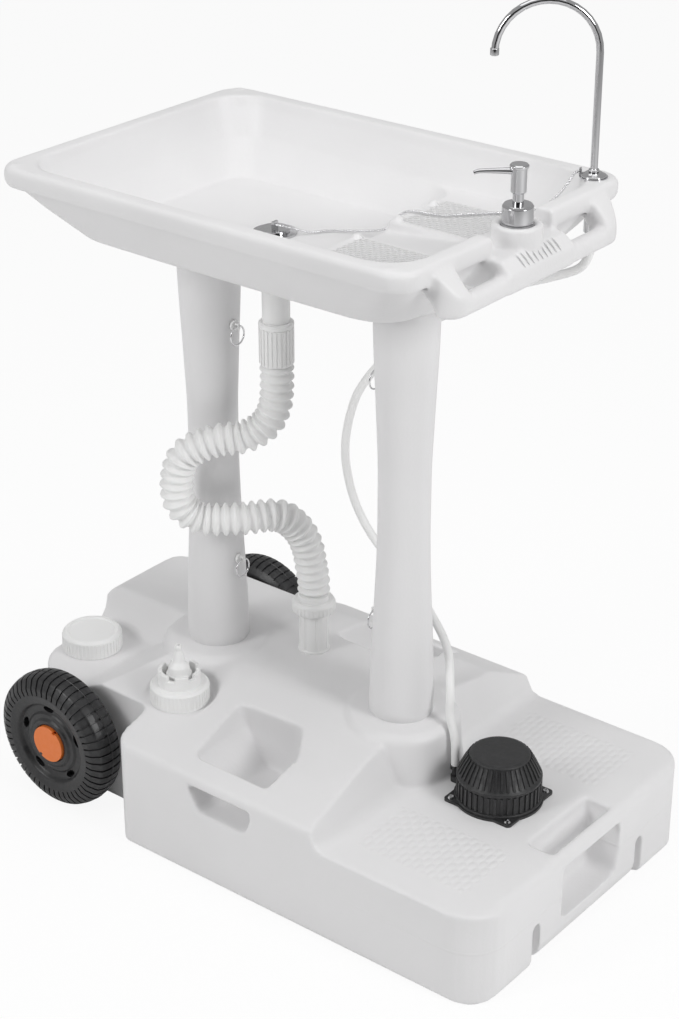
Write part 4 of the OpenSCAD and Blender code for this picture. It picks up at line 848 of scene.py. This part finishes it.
# %% Faucet
NOSE_TURN = Matrix.Rotation(math.radians(-141.5), 4, "Z")     # the way both spouts point
FAUCET, SOAP = (226, 170, 0), (244, 0, 0)
BEND, BEND_Z = 55, 945.9
base_profile = [(4.1, 812, 0), (14, 812, 0.4), (14, 813.8, 0.8), (12.6, 814.4, 0.6),
                (10.4, 815.4, 1), (8.8, 816.6, 0.8), (5, 817, 0.4), (4.1, 817, 0), (4.1, 812, 0)]
base = turned("base", base_profile, 48, at=FAUCET)
shank = turned("shank", [(2.4, 749, 0), (7.4, 749, 0.5), (8, 750, 0), (8, 812, 0), (2.4, 812, 0),
                         (2.4, 749, 0)], 32, at=FAUCET)
barb = turned("barb", [(2.4, 737, 0), (3.1, 737, 0), (3.6, 741, 0), (3.1, 741.2, 0), (3.6, 745, 0),
                       (3.1, 745.2, 0), (3.6, 749, 0), (2.4, 749, 0), (2.4, 737, 0)], 24,
              at=FAUCET)
join(base, shank, barb)
finish_piece(base, "faucet_base_skin", "stand", "chrome", ["faucet_base"])

pipe_knots = [Vector((0, 0, 809)), Vector((0, 0, 870)), Vector((0, 0, BEND_Z))]
pipe_knots += [Vector((BEND - BEND * math.cos(math.radians(a)), 0,
                       BEND_Z + BEND * math.sin(math.radians(a)))) for a in range(10, 180, 10)]
pipe_knots += [Vector((2 * BEND, 0, BEND_Z)), Vector((2 * BEND, 0, 943))]
pipe = swept("pipe", [p * MM for p in pipe_knots], [0.004] * len(pipe_knots), 24,
             Vector((0, 1, 0)))
ferrule = turned("ferrule", [(2.8, 943, 0), (4.2, 943, 0.4), (4.8, 944, 0.4), (4.8, 950.4, 0.6),
                             (4, 951, 0), (2.8, 951, 0), (2.8, 943, 0)], 32,
                 at=(2 * BEND, 0, 0))
collar = turned("collar", [(3.9, 817.4, 0), (5.8, 817.4, 0.4), (5.8, 819.6, 0.6), (4.8, 820.4, 0.4),
                           (3.9, 820.4, 0), (3.9, 817.4, 0)], 32)
join(pipe, ferrule, collar)
pipe.data.transform(NOSE_TURN)
move(pipe, FAUCET)
finish_piece(pipe, "faucet_pipe", "faucet_spout", "chrome", ["faucet_spout"], angle=50)

# %% Soap pump
collar_profile = [(5.95, 827, 0), (8.8, 827, 0), (8.8, 805, 0), (17.3, 805, 0), (17.3, 810.9, 0),
                  (16, 811, 0), (16.4, 812, 0.5), (16.4, 828.4, 1.2), (14.6, 830.8, 1),
                  (7, 831, 0.6), (5.95, 831, 0), (5.95, 827, 0)]
collar = turned("collar", collar_profile, 64, at=SOAP)
finish_piece(collar, "soap_collar_skin", "stand", "chrome", ["soap_collar"])

head_profile = [(5.85, 842.6, 0), (7.6, 842.6, 0.6), (8.2, 843.8, 0.5), (8.3, 868, 0.3),
                (9.8, 868.6, 0.4), (10, 871, 0.6), (8.6, 872.5, 0.6), (0, 872.5, 0), (0, 855, 0),
                (5.85, 855, 0), (5.85, 842.6, 0)]
head = turned("head", head_profile, 48)
nose_line = [Vector((7, 0, 864.8)), Vector((14, 0, 865)), Vector((24, 0, 865.1)),
             Vector((34, 0, 865)), Vector((40, 0, 864.7)), Vector((43, 0, 864)),
             Vector((45.4, 0, 862.8))]
nose_radii = [v * MM for v in (3.5, 3.2, 2.8, 2.4, 2.2, 2.1, 2.0)]
nose = swept("nose", [p * MM for p in nose_line], nose_radii, 20, Vector((0, 1, 0)))
join(head, nose)
head.data.transform(NOSE_TURN)
move(head, SOAP)
finish_piece(head, "soap_head_skin", "soap_head", "chrome", ["soap_head"], angle=45)
print("faucet and soap pump ready")

# %% Grip ribs on the block of the carrying bar
rib_line = [Vector((0, 0, 0)), Vector((4, 0, -2.2)), Vector((8, 0, -6)), Vector((12, 0, -10.7))]
ribs = []
for k in range(9):
    shift = Vector((265.5, -32 + 8 * k, 790.4))
    ribs.append(swept("rib", [(p + shift) * MM for p in rib_line],
                      [0.0004, 0.0008, 0.0008, 0.0004], 8, Vector((0, 1, 0))))
join(*ribs)
finish_piece(ribs[0], "grip_ribs", "stand", "moulded_white", angle=60)

# %% [markdown]
# ## Floor, backdrop and light
# The photograph is a cut-out on white with a faint shadow. The floor mixes a plain white
# glow, seen by the camera only, with a diffuse part that keeps the shadow.

# %% Floor and world
GLOW = 0.91           # the share of the floor's look that is plain white, for the camera only
AMBIENT = 0.46


def pale_floor():
    """A wide floor that keeps the shadow and stays nearly white to the camera."""
    bpy.ops.mesh.primitive_plane_add(size=1, location=(0, 0, 0))
    floor = bpy.context.object
    bpy.ops.object.mode_set(mode="EDIT")
    bpy.ops.mesh.subdivide(number_cuts=4)
    bpy.ops.transform.resize(value=(14, 14, 1))
    bpy.ops.object.mode_set(mode="OBJECT")
    floor.name = "floor"
    material = bpy.data.materials.new("floor_white")
    material.use_nodes = True
    tree = material.node_tree
    shader = tree.nodes["Principled BSDF"]
    shader.inputs["Base Color"].default_value = (0.95, 0.95, 0.95, 1)
    shader.inputs["Roughness"].default_value = 0.9
    shader.inputs["Specular IOR Level"].default_value = 0.1
    glow = tree.nodes.new("ShaderNodeEmission")
    ray = tree.nodes.new("ShaderNodeLightPath")
    seen = tree.nodes.new("ShaderNodeMath")
    seen.operation = "MULTIPLY"
    seen.inputs[1].default_value = GLOW
    blend = tree.nodes.new("ShaderNodeMixShader")
    tree.links.new(ray.outputs["Is Camera Ray"], seen.inputs[0])
    tree.links.new(seen.outputs[0], blend.inputs[0])
    tree.links.new(shader.outputs[0], blend.inputs[1])
    tree.links.new(glow.outputs[0], blend.inputs[2])
    tree.links.new(blend.outputs[0], tree.nodes["Material Output"].inputs[0])
    floor.data.materials.append(material)
    return floor


floor = pale_floor()

world = bpy.data.worlds.new("studio")
world.use_nodes = True
bpy.context.scene.world = world
sky = world.node_tree
ambient = sky.nodes["Background"]
ambient.inputs[0].default_value = (1.0, 1.0, 1.0, 1)
ambient.inputs[1].default_value = AMBIENT
white = sky.nodes.new("ShaderNodeBackground")
white.inputs[1].default_value = 1.0
ray = sky.nodes.new("ShaderNodeLightPath")
seen = sky.nodes.new("ShaderNodeMath")
seen.operation = "ADD"
seen.use_clamp = True
blend = sky.nodes.new("ShaderNodeMixShader")
sky.links.new(ray.outputs["Is Camera Ray"], seen.inputs[0])
sky.links.new(ray.outputs["Is Transmission Ray"], seen.inputs[1])
sky.links.new(seen.outputs[0], blend.inputs[0])
sky.links.new(ambient.outputs[0], blend.inputs[1])
sky.links.new(white.outputs[0], blend.inputs[2])
sky.links.new(blend.outputs[0], sky.nodes["World Output"].inputs[0])


# %% Studio lamps
def soft_lamp(name, place, aim, size, watts):
    data = bpy.data.lights.new(name, "AREA")
    data.shape = "RECTANGLE"
    data.size, data.size_y = size
    data.energy = watts
    lamp = bpy.data.objects.new(name, data)
    lamp.location = place
    lamp.rotation_euler = (Vector(aim) - Vector(place)).to_track_quat("-Z", "Y").to_euler()
    bpy.context.scene.collection.objects.link(lamp)
    return lamp


soft_lamp("overhead", (0.1, -0.1, 2.7), (0, 0, 0.4), (2.0, 1.8), 13)
soft_lamp("front left", (-0.9, -2.6, 2.0), (0, 0, 0.4), (0.8, 1.2), 26)
soft_lamp("front right", (2.8, -0.1, 2.0), (0, 0, 0.4), (0.8, 1.2), 36)


def dark_card():
    """A dark studio wall behind the camera, which the chrome pieces reflect."""
    bpy.ops.object.select_all(action="DESELECT")
    bpy.ops.mesh.primitive_plane_add(size=1, location=(0, 0, 0))
    card = bpy.context.object
    bpy.ops.object.mode_set(mode="EDIT")
    bpy.ops.transform.resize(value=(5.6, 2.8, 1))
    bpy.ops.object.mode_set(mode="OBJECT")
    card.name = "dark_wall"
    card.data.transform(Matrix.Translation((2.3, -2.9, 1.3)) @ Matrix.Rotation(
        math.radians(CAMERA_ROUND), 4, "Z") @ Matrix.Rotation(math.pi / 2, 4, "X"))
    material = bpy.data.materials.new("wall_dark")
    material.use_nodes = True
    material.node_tree.nodes["Principled BSDF"].inputs["Base Color"].default_value = (
        0.03, 0.03, 0.03, 1)
    card.data.materials.append(material)


dark_card()
view = bpy.context.scene.view_settings
view.view_transform = "Standard"
print("lamps and floor ready")
